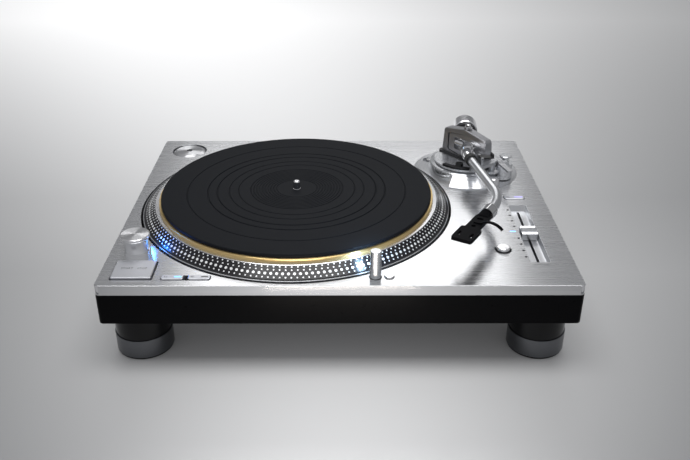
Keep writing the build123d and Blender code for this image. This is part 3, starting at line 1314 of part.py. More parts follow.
# The anti-skating dial
SKATE_R = 7.4
SKATE_BOTTOM = 0.4
SKATE_H = 10.4
SKATE_FOOT_R = 6.8
SKATE_FOOT_H = 2.4
with BuildPart() as anti_skate_dial:
    with BuildSketch(deck_plane(SKATE_BOTTOM)):
        with Locations(SKATE_AT):
            Circle(SKATE_FOOT_R)
    extrude(amount=SKATE_FOOT_H)
    with BuildSketch(deck_plane(SKATE_BOTTOM + SKATE_FOOT_H)):
        with Locations(SKATE_AT):
            Circle(SKATE_R)
    extrude(amount=SKATE_H - SKATE_FOOT_H)
    chamfer(anti_skate_dial.edges().group_by(Axis.Z)[-1], 0.8)
    with BuildSketch(deck_plane(-DIAL_PIN)):
        with Locations(SKATE_AT):
            Circle(DIAL_PIN_R)
    extrude(amount=DIAL_PIN + SKATE_BOTTOM)
keep(anti_skate_dial, "anti_skate_dial")
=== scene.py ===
"""The looks of a direct-drive turntable with an S-shaped tonearm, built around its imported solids.

Places are given in millimetres: right of the middle line, back from the deck's front edge and above the
deck. Meshes are in metres, with +X right, +Y back and +Z up, as the solids are.
"""
from math import pi, radians

import bmesh
import bpy
import numpy as np
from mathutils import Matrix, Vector


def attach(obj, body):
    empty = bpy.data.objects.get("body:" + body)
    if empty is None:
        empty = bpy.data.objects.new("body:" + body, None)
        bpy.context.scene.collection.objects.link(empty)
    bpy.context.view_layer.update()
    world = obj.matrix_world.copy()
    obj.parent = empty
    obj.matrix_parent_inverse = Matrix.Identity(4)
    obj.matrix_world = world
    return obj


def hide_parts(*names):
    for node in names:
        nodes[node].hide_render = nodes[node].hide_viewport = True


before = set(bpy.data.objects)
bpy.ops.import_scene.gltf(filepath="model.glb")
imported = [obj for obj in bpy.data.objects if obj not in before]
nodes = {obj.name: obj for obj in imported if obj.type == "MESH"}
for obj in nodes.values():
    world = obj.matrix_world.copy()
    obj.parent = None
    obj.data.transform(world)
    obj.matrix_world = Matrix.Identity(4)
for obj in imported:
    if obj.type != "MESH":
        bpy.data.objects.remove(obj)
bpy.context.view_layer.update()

MM = 0.001
DECK = 98.5
FRONT = -186.0
SPINDLE = (-47.5, 171.8)
PIVOT = (148.8, 260.6)
STROBE = (-200.9, 69.0)
RESET = (161.0, 67.0)
LAMP = (33.1, 15.8)
ADAPTER = (-190.6, 319.5)

# Top plate: half its width and depth, where its middle lies, its corners' radius, and its bevel as packed
# and as shown
PLATE_HALF = (226.0, 176.0)
PLATE_MIDDLE = -9.5
PLATE_CORNER = 4.0
PLATE_BEVEL = 1.6
PLATE_EDGE = 0.5

# How near points of the plate are merged or matched, in metres, and which of its faces are the front wall:
# those whose middle lies so far behind the front, with a normal that rises or falls by less than LEVEL
MERGE = 1e-6
MATCH = 2e-5
WALL_DEPTH = 2.0
LEVEL = 0.3

# Platter, with radii from the spindle and heights from the deck
BAND_TOP = (151.8, 10.6)
BAND_FOOT = (163.2, 1.5)
MAT_R = 145.7
MAT_TOP = 17.6
MAT_FLOOR = 14.0
MAT_BORE = 4.0
MAT_FLAT = 12.0
MAT_STEPS = 256

# The mat's grooves as radius, width and depth, and the fine ones near its middle
WIDE_GROOVES = ((118.0, 1.7, 0.6), (96.0, 2.0, 0.8), (86.0, 2.0, 0.8), (73.0, 1.6, 0.6), (63.0, 1.6, 0.6),
                (50.0, 1.5, 0.6))
FINE_FIRST = 22.0
FINE_END = 48.0
FINE_PITCH = 3.1
FINE_WIDTH = 1.5
FINE_DEEP = 0.45

# The band's rows of dots, each as how far down the band it lies, how many dots it has, and their radius
DOT_ROWS = ((0.14, 170, 0.8), (0.357, 174, 0.8), (0.609, 180, 1.42), (0.869, 186, 0.8))
DOT_SIDES = 12
DOT_SUNK = -0.05
DOT_PROUD = 0.06

# How far past the band's top and foot its black starts and ends
BLACK_STARTS = 0.5
BLACK_ENDS = 1.6

# Marks: how far ink reaches under and over a surface, how high the keys' tops stand, and how far a light
# is sunk in its key and stands over it
INK_LOW = -0.02
INK_HIGH = 0.03
WORD_SPACING = 1.12
START_KEY_TOP = 2.3
SPEED_KEY_TOP = 1.2
RANGE_KEY_TOP = 0.9
LIGHT_SUNK = 0.03
LIGHT_PROUD = 0.04

# The pitch scale beside the fader
TICK_FIRST = 52.7
TICK_PITCH = 12.59
TICK_X = 180.9
TICK_R = 1.35
DIGIT_X = 176.6
SCALE_DIGITS = "8642 2468"
MIDDLE_TICK = 4

# Finishes: lumps per millimetre, how far roughness strays under and over its own value, and a relief's
# strength and its depth in metres
SCRATCH_ALONG = 0.012
SCRATCH_ACROSS = 3.0
SCRATCH_STRAY = (0.05, 0.07)
SCRATCH_RELIEF = (0.12, 0.00002)
RING_PITCH = 2.2
RING_STRAY = (0.04, 0.08)
GRAIN_STRAY = (0.05, 0.06)
GRAIN_RELIEF = (0.1, 0.00003)
PEEL_TINT = (0.9, 1.12)
PEEL_STRAY = (0.03, 0.05)
PEEL_RELIEF = (0.06, 0.0001)
RUBBER_STREAK = 0.12
GLOW_ROUGHNESS = 0.4
COAT_ROUGHNESS = 0.12

# The floor, in metres: its half side, its pale colour and the painted shade it fades to, the line and width
# of its painted light, where painted shade darkens it in front of the view, and where a painted glow starts
# far behind, with the glow's least and most strength
FLOOR_REACH = 12.0
FLOOR_PALE = (0.88, 0.88, 0.88)
FLOOR_PAINTED_SHADE = (0.0, 0.004, 0.012)
FLOOR_ROUGHNESS = 0.24
FLOOR_DRIFT = -0.38
FLOOR_WIDTH = 0.38
FLOOR_WIDENING = 0.5
FLOOR_LEAST_WIDTH = 0.2
PAINTED_SHADE_FROM = -0.95
PAINTED_SHADE_DEPTH = 0.6
PAINTED_GLOW_STARTS = 0.2
PAINTED_GLOW_LEAST = 0.04
PAINTED_GLOW_MOST = 0.62

# The walls' strength, and the parts of a direction between which it turns to the back and to the top
WALL_PALE = 0.36
WALL_DARK = 0.21
WALL_TINT = (0.96, 0.97, 1.0)
TOWARDS_BACK = (0.1, 0.45)
TOWARDS_TOP = (0.78, 0.6)

# The camera: its place in metres, how far it looks down in degrees, its roll in radians, and its lens and
# sensor in millimetres
CAMERA_PLACE = (0.0037, -0.8125, 0.4937)
CAMERA_DOWN = 28.28
CAMERA_ROLL = -0.0016
FOCAL_LENGTH = 42.17
SENSOR_WIDTH = 36.0


def deck_point(x, back, rise=0.0):
    """A place on the deck, in metres."""
    return np.array([x, FRONT + back, DECK + rise]) * MM


def deck_points(x, back, rise):
    """The same for arrays of places, which may have any shape."""
    x, back, rise = np.broadcast_arrays(x, back, rise)
    return np.stack([x, back + FRONT, rise + DECK], axis=-1) * MM


# Shapes

def riding(name, mesh, body):
    """An object of a mesh, in the scene and riding on a body."""
    piece = bpy.data.objects.new(name, mesh)
    bpy.context.scene.collection.objects.link(piece)
    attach(piece, body)
    return piece


def mesh_piece(name, points, faces, body, material):
    """A flat-faced piece from an array of points and a list of faces, riding on a body."""
    mesh = bpy.data.meshes.new(name)
    mesh.from_pydata(points.reshape(-1, 3).tolist(), [], faces)
    mesh.materials.append(material)
    mesh.update()
    return riding(name, mesh, body)


def ring_faces(rows, columns):
    """Quads over a grid of rows by columns that closes on itself both ways."""
    row = np.arange(rows)[:, None]
    column = np.arange(columns)[None, :]
    next_row = (row + 1) % rows
    next_column = (column + 1) % columns
    corners = np.broadcast_arrays(next_row * columns + column, next_row * columns + next_column,
                                  row * columns + next_column, row * columns + column)
    return np.stack(corners, -1).reshape(-1, 4)


def turned(name, profile, centre, body, material, steps):
    """A closed ring: the loop of (radius, height) points turned about an upright axis.

    Point (i, j) is centre + radius_i * (cos a_j, sin a_j), at height_i, with a_j even steps of a turn.
    The loop runs anticlockwise seen with the radius to the right, so that faces point outwards.
    """
    profile = np.array(profile, float)
    angle = np.arange(steps) * 2 * pi / steps
    radius = profile[:, 0][:, None]
    points = deck_points(centre[0] + radius * np.cos(angle), centre[1] + radius * np.sin(angle),
                         profile[:, 1][:, None])
    return mesh_piece(name, points, ring_faces(len(profile), steps).tolist(), body, material)


def prism_faces(start, sides):
    """The top, the underside and the walls of a prism whose lower loop starts at a point, its upper next."""
    top = start + sides
    walls = [[start + i, start + (i + 1) % sides, top + (i + 1) % sides, top + i] for i in range(sides)]
    return [[top + i for i in range(sides)], [start + i for i in reversed(range(sides))]] + walls


def slabs(name, outlines, low, high, body, material):
    """Thin upright slabs: each outline of (x, back) points is raised from low to high above the deck."""
    points = []
    faces = []
    for outline in outlines:
        faces += prism_faces(len(points), len(outline))
        points += [deck_point(x, back, low) for x, back in outline]
        points += [deck_point(x, back, high) for x, back in outline]
    return mesh_piece(name, np.array(points), faces, body, material)


def circle_outline(x, back, radius, steps=20):
    """Points round a circle, anticlockwise seen from above."""
    angle = np.arange(steps) * 2 * pi / steps
    return list(zip(x + radius * np.cos(angle), back + radius * np.sin(angle)))


def bar_outline(x, back, width, depth):
    """The corners of a bar, anticlockwise seen from above."""
    return [(x - width / 2, back - depth / 2), (x + width / 2, back - depth / 2),
            (x + width / 2, back + depth / 2), (x - width / 2, back + depth / 2)]


def label(name, words, x, back, rise, height, body, material):
    """Small plain lettering lying on a surface, made a mesh and put in place."""
    curve = bpy.data.curves.new(name, "FONT")
    curve.body = words
    curve.size = height * MM
    curve.align_x = "CENTER"
    curve.align_y = "CENTER"
    curve.extrude = INK_HIGH * MM / 2
    curve.space_character = WORD_SPACING
    maker = bpy.data.objects.new(name + "_maker", curve)
    bpy.context.scene.collection.objects.link(maker)
    bpy.context.view_layer.update()
    mesh = bpy.data.meshes.new_from_object(maker)
    bpy.data.objects.remove(maker)
    count = len(mesh.vertices)
    flat = np.empty(count * 3)
    mesh.vertices.foreach_get("co", flat)
    placed = flat.reshape(-1, 3) + deck_point(x, back, rise + INK_HIGH / 2)
    mesh.vertices.foreach_set("co", placed.ravel())
    mesh.materials.clear()
    mesh.materials.append(material)
    mesh.update()
    return riding(name, mesh, body)


# Finishes

class Finish:
    """A material under construction, with short ways to add and join its nodes."""

    def __init__(self, name, colour, metallic=0.0, roughness=0.5, coat=0.0, anisotropic=0.0):
        self.material = bpy.data.materials.new(name)
        self.material.use_nodes = True
        self.tree = self.material.node_tree
        self.shader = self.tree.nodes["Principled BSDF"]
        self.shader.inputs["Base Color"].default_value = (*colour, 1.0)
        self.shader.inputs["Metallic"].default_value = metallic
        self.shader.inputs["Roughness"].default_value = roughness
        self.shader.inputs["Coat Weight"].default_value = coat
        self.shader.inputs["Coat Roughness"].default_value = COAT_ROUGHNESS
        self.shader.inputs["Anisotropic"].default_value = anisotropic
        self.colour = colour
        self.roughness = roughness

    def node(self, kind, **settings):
        """A new node with some of its settings filled in."""
        made = self.tree.nodes.new(kind)
        for key, value in settings.items():
            setattr(made, key, value)
        return made

    def join(self, output, target):
        """Link an output to an input."""
        self.tree.links.new(output, target)

    def place(self, centre=(0.0, 0.0, 0.0), scale=(1.0, 1.0, 1.0)):
        """Object coordinates in millimetres from a centre, stretched by a scale along each axis."""
        source = self.node("ShaderNodeTexCoord")
        move = self.node("ShaderNodeMapping", vector_type="POINT")
        move.inputs["Scale"].default_value = [s / MM for s in scale]
        move.inputs["Location"].default_value = [-c * s for c, s in zip(centre, scale)]
        self.join(source.outputs["Object"], move.inputs["Vector"])
        return move.outputs["Vector"]

    def math(self, operation, first, second):
        """One arithmetic step on two numbers or outputs."""
        made = self.node("ShaderNodeMath", operation=operation)
        for slot_number, value in enumerate((first, second)):
            if isinstance(value, (int, float)):
                made.inputs[slot_number].default_value = value
            else:
                self.join(value, made.inputs[slot_number])
        return made.outputs[0]

    def noise(self, vector, scale, detail=3.0):
        """Smooth noise from 0 to 1 with so many lumps per millimetre."""
        made = self.node("ShaderNodeTexNoise")
        made.inputs["Scale"].default_value = scale
        made.inputs["Detail"].default_value = detail
        self.join(vector, made.inputs["Vector"])
        return made.outputs["Fac"]

    def spread(self, value, low, high):
        """A value from 0 to 1 laid out from low to high."""
        made = self.node("ShaderNodeMapRange")
        made.inputs["To Min"].default_value = low
        made.inputs["To Max"].default_value = high
        self.join(value, made.inputs["Value"])
        return made.outputs["Result"]

    def vary_colour(self, value, low, high):
        """The base colour darkened or lightened by a value from 0 to 1."""
        mix = self.node("ShaderNodeMix", data_type="RGBA")
        mix.inputs["A"].default_value = (*[c * low for c in self.colour], 1.0)
        mix.inputs["B"].default_value = (*[min(1.0, c * high) for c in self.colour], 1.0)
        self.join(value, mix.inputs["Factor"])
        self.join(mix.outputs["Result"], self.shader.inputs["Base Color"])

    def blend_colours(self, factor, first, second):
        """One colour or output where the factor is 0 and the other where it is 1."""
        mix = self.node("ShaderNodeMix", data_type="RGBA")
        for name, value in (("A", first), ("B", second)):
            if isinstance(value, tuple):
                mix.inputs[name].default_value = (*value, 1.0)
            else:
                self.join(value, mix.inputs[name])
        self.join(factor, mix.inputs["Factor"])
        return mix.outputs["Result"]

    def vary_roughness(self, value, under, over):
        """Roughness that strays from so far under to so far over its own value, by a value from 0 to 1."""
        varied = self.spread(value, self.roughness - under, self.roughness + over)
        self.join(varied, self.shader.inputs["Roughness"])

    def bump(self, height, strength, depth):
        """A height from 0 to 1 as a fine relief, so many metres deep."""
        made = self.node("ShaderNodeBump")
        made.inputs["Strength"].default_value = strength
        made.inputs["Distance"].default_value = depth
        self.join(height, made.inputs["Height"])
        self.join(made.outputs["Normal"], self.shader.inputs["Normal"])

    def rub(self, vector):
        """The direction across the fine scratches, given in the piece's own axes."""
        turn = self.node("ShaderNodeVectorTransform", vector_type="VECTOR", convert_from="OBJECT",
                         convert_to="WORLD")
        self.join(vector, turn.inputs["Vector"])
        self.join(turn.outputs["Vector"], self.shader.inputs["Tangent"])

    def radius(self, centre):
        """The distance in millimetres from an upright axis, and the vector out from it."""
        flat = self.place(centre, (1.0, 1.0, 0.0))
        length = self.node("ShaderNodeVectorMath", operation="LENGTH")
        self.join(flat, length.inputs[0])
        return length.outputs["Value"], flat


def centre_of(place):
    """A deck place as millimetres in the piece's own axes."""
    return (place[0], FRONT + place[1], DECK)


def brushed(name, colour, roughness, along="X", anisotropic=0.6, streak=0.06):
    """Metal with straight fine scratches along X or Y."""
    finish = Finish(name, colour, 1.0, roughness, anisotropic=anisotropic)
    stretch = [SCRATCH_ACROSS] * 3
    stretch["XY".index(along)] = SCRATCH_ALONG
    lines = finish.noise(finish.place(scale=stretch), 1.0, 4.0)
    finish.vary_colour(lines, 1 - streak, 1 + streak)
    finish.vary_roughness(lines, *SCRATCH_STRAY)
    finish.bump(lines, *SCRATCH_RELIEF)
    across = finish.node("ShaderNodeCombineXYZ")
    across.inputs["YX".index(along)].default_value = 1.0
    finish.rub(across.outputs["Vector"])
    return finish


def lathe(name, colour, roughness, centre, anisotropic=0.75, streak=0.08):
    """Metal turned on a lathe: fine rings about an upright axis."""
    finish = Finish(name, colour, 1.0, roughness, anisotropic=anisotropic)
    distance, outward = finish.radius(centre)
    ring = finish.node("ShaderNodeCombineXYZ")
    finish.join(finish.math("MULTIPLY", distance, RING_PITCH), ring.inputs[0])
    rings = finish.noise(ring.outputs["Vector"], 1.0, 2.0)
    finish.vary_colour(rings, 1 - streak, 1 + streak)
    finish.vary_roughness(rings, *RING_STRAY)
    finish.rub(outward)
    return finish


def satin(name, colour, roughness, metallic=1.0, grain=1.2, streak=0.05):
    """Bead-blasted or moulded surface with a fine even grain."""
    finish = Finish(name, colour, metallic, roughness)
    grains = finish.noise(finish.place(), grain, 3.0)
    finish.vary_colour(grains, 1 - streak, 1 + streak)
    finish.vary_roughness(grains, *GRAIN_STRAY)
    finish.bump(grains, *GRAIN_RELIEF)
    return finish


def paint(name, colour, roughness, coat=0.0, peel=0.15, shine=0.5):
    """Paint or moulded plastic with a slight orange peel."""
    finish = Finish(name, colour, 0.0, roughness, coat)
    finish.shader.inputs["Specular IOR Level"].default_value = shine
    waves = finish.noise(finish.place(), peel, 2.0)
    finish.vary_colour(waves, *PEEL_TINT)
    finish.vary_roughness(waves, *PEEL_STRAY)
    finish.bump(waves, *PEEL_RELIEF)
    return finish


def rubber(name, colour, roughness, shine=0.3, grain=2.5):
    """Dull rubber: a fine grain and little shine."""
    finish = satin(name, colour, roughness, 0.0, grain, RUBBER_STREAK)
    finish.shader.inputs["Specular IOR Level"].default_value = shine
    return finish


def glow(name, colour, strength):
    """A small lit window or lamp."""
    finish = Finish(name, colour, 0.0, GLOW_ROUGHNESS)
    finish.shader.inputs["Emission Color"].default_value = (*colour, 1.0)
    finish.shader.inputs["Emission Strength"].default_value = strength
    return finish


SILVER = (0.80, 0.805, 0.82)
CHROME = (0.88, 0.88, 0.89)
INK = (0.012, 0.012, 0.014)
BLUE = (0.12, 0.42, 1.0)
BAND_BLACK = (0.008, 0.008, 0.01)

deck_metal = brushed("deck brushed aluminium", (0.83, 0.835, 0.85), 0.26, "X", 0.6, 0.1).material
edge_metal = brushed("plate edge aluminium", (0.8, 0.8, 0.81), 0.06, "X", 0.1).material
body_paint = paint("satin black body paint", (0.003, 0.003, 0.0035), 0.28, shine=0.05).material
base_rubber = rubber("base rubber", (0.02, 0.02, 0.025), 0.4, shine=0.25).material
resin = satin("black resin", (0.02, 0.02, 0.022), 0.5, metallic=0.0, grain=1.5).material
foot_black = paint("foot gloss black", (0.002, 0.002, 0.0025), 0.12, coat=0.1, shine=0.2).material
foot_metal = satin("foot dark metal", (0.15, 0.155, 0.165), 0.34).material
brass = lathe("brass disc", (0.9, 0.66, 0.3), 0.32, centre_of(SPINDLE)).material
mat_finish = rubber("mat rubber", (0.010, 0.011, 0.0135), 0.5, shine=0.06).material
spindle_steel = lathe("spindle steel", CHROME, 0.12, centre_of(SPINDLE), 0.3).material
knob_metal = lathe("knob turned metal", CHROME, 0.3, centre_of(STROBE), 0.9, 0.12).material
housing_metal = lathe("strobe housing metal", SILVER, 0.25, centre_of(STROBE), 0.4).material
key_metal = satin("key satin metal", (0.76, 0.77, 0.81), 0.4).material
reset_metal = lathe("reset button metal", CHROME, 0.14, centre_of(RESET), 0.6).material
lamp_metal = lathe("lamp turned metal", (0.62, 0.64, 0.66), 0.22, centre_of(LAMP), 0.3).material
trough_metal = brushed("trough metal", (0.72, 0.73, 0.75), 0.3, "Y", 0.4).material
fader_metal = brushed("fader metal", (0.74, 0.75, 0.77), 0.24, "X", 0.5).material
adapter_metal = lathe("adapter metal", SILVER, 0.34, centre_of(ADAPTER), 0.85, 0.1).material
base_metal = lathe("arm base metal", (0.78, 0.79, 0.81), 0.26, centre_of(PIVOT), 0.7).material
ring_metal = lathe("height ring metal", (0.8, 0.81, 0.83), 0.22, centre_of(PIVOT), 0.7).material
carrier_metal = satin("carrier satin metal", (0.78, 0.79, 0.81), 0.26).material
shoe_black = paint("shoe black", (0.014, 0.014, 0.015), 0.35).material
bracket_metal = satin("bracket gunmetal", (0.46, 0.46, 0.48), 0.36, streak=0.06).material
chrome = satin("polished chrome", CHROME, 0.1).material
rest_metal = satin("rest satin metal", (0.55, 0.56, 0.58), 0.3).material
lifter_black = satin("lifter black", (0.03, 0.03, 0.032), 0.35).material
steel = satin("satin steel", (0.68, 0.68, 0.7), 0.26).material
tube_metal = satin("tube satin metal", (0.74, 0.75, 0.77), 0.32, streak=0.03).material
weight_metal = satin("counterweight metal", (0.82, 0.82, 0.84), 0.22).material
headshell_black = paint("headshell black", (0.004, 0.004, 0.005), 0.4, shine=0.03).material
soft_rubber = satin("soft rubber", (0.02, 0.02, 0.02), 0.6, metallic=0.0, grain=2.5).material
inside_metal = satin("inside metal", (0.5, 0.5, 0.5), 0.4).material
copper = satin("coil copper", (0.7, 0.35, 0.2), 0.35).material
board_green = paint("board green", (0.03, 0.2, 0.08), 0.4).material
gold = satin("gold plating", (0.9, 0.7, 0.35), 0.18).material
ink = paint("printed ink", INK, 0.7, peel=0.0, shine=0.1).material
slot_black = Finish("unlit slot", (0.02, 0.02, 0.022), 0.0, 0.3).material
blue_light = glow("blue light", BLUE, 3.0).material
violet_light = glow("violet light", (0.45, 0.4, 1.0), 1.2).material
dot_mirror = Finish("dot mirror", (0.95, 0.96, 0.97), 0.25, 0.3).material
window_glass = glow("strobe window", (0.15, 0.45, 1.0), 1.0).material


def platter_finish():
    """Turned aluminium, black on the sloping band that carries the dots.

    The band is where the distance from the spindle is between the radius at its top and a little past its
    foot.
    """
    finish = lathe("platter turned metal", SILVER, 0.24, centre_of(SPINDLE), 0.6)
    distance, _ = finish.radius(centre_of(SPINDLE))
    outside = finish.math("GREATER_THAN", distance, BAND_TOP[0] + BLACK_STARTS)
    inside = finish.math("LESS_THAN", distance, BAND_FOOT[0] + BLACK_ENDS)
    on_band = finish.math("MULTIPLY", outside, inside)
    bare = finish.shader.inputs["Base Color"].links[0].from_socket
    finish.join(finish.blend_colours(on_band, bare, BAND_BLACK), finish.shader.inputs["Base Color"])
    finish.join(finish.math("SUBTRACT", 1.0, on_band), finish.shader.inputs["Metallic"])
    return finish.material


FINISHES = {
    "top_plate": deck_metal,
    "die_cast_chassis": body_paint,
    "resin_underbody": resin,
    "rubber_base": base_rubber,
    "platter": platter_finish(),
    "brass_plate": brass,
    "damping_rubber": soft_rubber,
    "spindle": spindle_steel,
    "strobe_housing": housing_metal,
    "strobe_window": window_glass,
    "power_knob": knob_metal,
    "start_stop_button": key_metal,
    "speed_button_33": key_metal,
    "speed_button_45": key_metal,
    "pitch_range_button": key_metal,
    "reset_button": reset_metal,
    "lamp_button": chrome,
    "target_lamp": lamp_metal,
    "pitch_slide_liner": trough_metal,
    "pitch_fader": fader_metal,
    "adapter_45": adapter_metal,
    "arm_base_plate": base_metal,
    "height_ring": ring_metal,
    "lock_lever": steel,
    "arm_carrier": carrier_metal,
    "bracket_foot": shoe_black,
    "gimbal_bracket": bracket_metal,
    "pivot_screw": chrome,
    "arm_rest": rest_metal,
    "arm_clip": shoe_black,
    "cue_lifter": lifter_black,
    "cue_lever": steel,
    "anti_skate_dial": chrome,
    "gimbal_ring": bracket_metal,
    "arm_block": chrome,
    "tube_rubber_ring": soft_rubber,
    "arm_tube": tube_metal,
    "counterweight": weight_metal,
    "pressure_dial": shoe_black,
    "locking_collar": chrome,
    "headshell": headshell_black,
    "finger_lift": headshell_black,
    "stator": copper,
    "bearing_housing": brass,
    "rotor_magnet": inside_metal,
    "power_supply": inside_metal,
    "control_board": board_green,
    "terminal_bay": resin,
    "rear_terminals": gold,
    "mains_inlet": resin,
    "hinge_sockets": resin,
}
for corner in ("front_left", "front_right", "back_left", "back_right"):
    FINISHES[f"foot_core_{corner}"] = foot_black
    FINISHES[f"foot_sleeve_{corner}"] = foot_metal
for name, material in FINISHES.items():
    nodes[name].data.materials.clear()
    nodes[name].data.materials.append(material)


# Top plate with a crisper upper edge

def crisp_plate():
    """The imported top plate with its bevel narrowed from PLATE_BEVEL to PLATE_EDGE.

    A corner of the bevel lies at a reach from the straight-sided core, whose sides stand PLATE_CORNER inside
    the outline. The bevel's upper loop moves out to PLATE_CORNER - PLATE_EDGE along that reach, and its
    lower loop rises to PLATE_EDGE below the deck. The front wall takes the second finish.
    """
    mesh = nodes["top_plate"].data.copy()
    mesh.name = "crisp_top_plate"
    work = bmesh.new()
    work.from_mesh(mesh)
    bmesh.ops.remove_doubles(work, verts=work.verts, dist=MERGE)
    work.to_mesh(mesh)
    work.free()
    points = np.empty(len(mesh.vertices) * 3)
    mesh.vertices.foreach_get("co", points)
    points = points.reshape(-1, 3)
    flat = points[:, :2] - [0.0, PLATE_MIDDLE * MM]
    core = np.clip(flat, [-(side - PLATE_CORNER) * MM for side in PLATE_HALF],
                   [(side - PLATE_CORNER) * MM for side in PLATE_HALF])
    out = flat - core
    reach = np.linalg.norm(out, axis=1)
    below = DECK * MM - points[:, 2]
    upper = (np.abs(reach - (PLATE_CORNER - PLATE_BEVEL) * MM) < MATCH) & (np.abs(below) < MATCH)
    lower = (np.abs(reach - PLATE_CORNER * MM) < MATCH) & (np.abs(below - PLATE_BEVEL * MM) < MATCH)
    scale = (PLATE_CORNER - PLATE_EDGE) / (PLATE_CORNER - PLATE_BEVEL)
    points[upper, :2] = core[upper] + out[upper] * scale + [0.0, PLATE_MIDDLE * MM]
    points[lower, 2] = (DECK - PLATE_EDGE) * MM
    mesh.vertices.foreach_set("co", points.ravel())
    mesh.materials.clear()
    mesh.materials.append(deck_metal)
    mesh.materials.append(edge_metal)
    mesh.update()
    for face in mesh.polygons:
        in_front = face.center.y < (FRONT + WALL_DEPTH) * MM
        face.material_index = 1 if in_front and abs(face.normal.z) < LEVEL else 0
    piece = riding("crisp_top_plate", mesh, "chassis")
    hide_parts("top_plate")


# Platter: dots and mat

def dotted_band():
    """Four rows of round mirror dots on the platter's sloping band.

    A dot's middle lies at a fraction of the way down the band, at even angles round the spindle. Its rim
    is a circle in the band's plane, and the dot is a low disc with a flat top.
    """
    top = np.array(BAND_TOP)
    foot = np.array(BAND_FOOT)
    slope = (foot - top) / np.linalg.norm(foot - top)
    normal = np.array([-slope[1], slope[0]])
    rim = np.arange(DOT_SIDES) * 2 * pi / DOT_SIDES
    points = []
    for fraction, count, radius in DOT_ROWS:
        middle = top + (foot - top) * fraction
        angle = (np.arange(count) * 2 * pi / count)[:, None, None]
        lift = np.array([DOT_SUNK, DOT_PROUD])[None, :, None]
        down = radius * np.cos(rim)[None, None, :]
        round_way = radius * np.sin(rim)[None, None, :]
        out = middle[0] + slope[0] * down + normal[0] * lift
        height = middle[1] + slope[1] * down + normal[1] * lift
        x = SPINDLE[0] + out * np.cos(angle) - round_way * np.sin(angle)
        back = SPINDLE[1] + out * np.sin(angle) + round_way * np.cos(angle)
        points.append(deck_points(x, back, height).reshape(-1, 3))
    points = np.concatenate(points)
    faces = []
    for start in range(0, len(points), 2 * DOT_SIDES):
        faces += prism_faces(start, DOT_SIDES)
    piece = mesh_piece("strobe_dots", points, faces, "platter_body", dot_mirror)
    return piece


def mat_profile():
    """The mat's section: a flat top cut by grooves, a bevelled edge, and a flat underside.

    A groove at radius r, of width w and depth d, slopes down from r - w/2 to r - w/6, is flat to r + w/6
    and slopes up to r + w/2. Wide grooves part the mat into zones, and fine ones ring its middle.
    """
    fine = [(radius, FINE_WIDTH, FINE_DEEP) for radius in np.arange(FINE_FIRST, FINE_END, FINE_PITCH)]
    profile = [(MAT_BORE, MAT_TOP), (MAT_FLAT, MAT_TOP)]
    for radius, width, depth in sorted([*WIDE_GROOVES, *fine]):
        profile += [(radius - width / 2, MAT_TOP), (radius - width / 6, MAT_TOP - depth),
                    (radius + width / 6, MAT_TOP - depth), (radius + width / 2, MAT_TOP)]
    profile += [(MAT_R - 1.2, MAT_TOP), (MAT_R - 0.3, MAT_TOP - 0.3), (MAT_R, MAT_TOP - 1.0),
                (MAT_R, MAT_FLOOR), (MAT_BORE, MAT_FLOOR)]
    return profile[::-1]


crisp_plate()
dotted_band()
mat = turned("grooved_mat", mat_profile(), SPINDLE, "platter_body", mat_finish, MAT_STEPS)
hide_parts("rubber_mat")

# Lettering, marks and lights on the deck and keys: a label has its x, back, rise and height of letters,
# and a bar its x, back, width and depth
label("start_stop_words", "START · STOP", -194.3, 28.0, START_KEY_TOP, 3.6, "start_stop_button", ink)
for speed, x in (("33", -162.0), ("45", -137.5)):
    label(f"speed_{speed}_digits", speed, x, 14.3, SPEED_KEY_TOP, 3.2, f"speed_button_{speed}", ink)
for speed, x, lit in (("33", -150.6, blue_light), ("45", -125.6, slot_black)):
    slabs(f"speed_{speed}_light", [bar_outline(x, 14.6, 6.4, 1.6)], SPEED_KEY_TOP - LIGHT_SUNK,
          SPEED_KEY_TOP + LIGHT_PROUD, f"speed_button_{speed}", lit)
label("reset_word", "RESET", 161.0, 54.6, 0.0, 2.6, "chassis", ink)
label("pitch_word", "PITCH ADJ.", 193.0, 37.5, 0.0, 2.6, "chassis", ink)
label("range_mark", "×2", 186.6, 183.5, RANGE_KEY_TOP, 3.0, "pitch_range_button", ink)
slabs("range_light", [bar_outline(198.0, 184.0, 9.0, 1.4)], RANGE_KEY_TOP - LIGHT_SUNK,
      RANGE_KEY_TOP + LIGHT_PROUD, "pitch_range_button", violet_light)
ticks = [TICK_FIRST + TICK_PITCH * step for step in range(len(SCALE_DIGITS))]
slabs("pitch_ticks", [circle_outline(TICK_X, back, TICK_R) for back in ticks if back != ticks[MIDDLE_TICK]],
      INK_LOW, INK_HIGH, "chassis", ink)
for number, (back, digit) in enumerate(zip(ticks, SCALE_DIGITS)):
    if number != MIDDLE_TICK:
        label(f"pitch_digit_{number}", digit, DIGIT_X, back, 0.0, 2.7, "chassis", ink)
slabs("pitch_light", [bar_outline(177.6, 104.8, 5.6, 1.5)], INK_LOW, LIGHT_PROUD, "chassis", blue_light)

# Floor, lights and camera

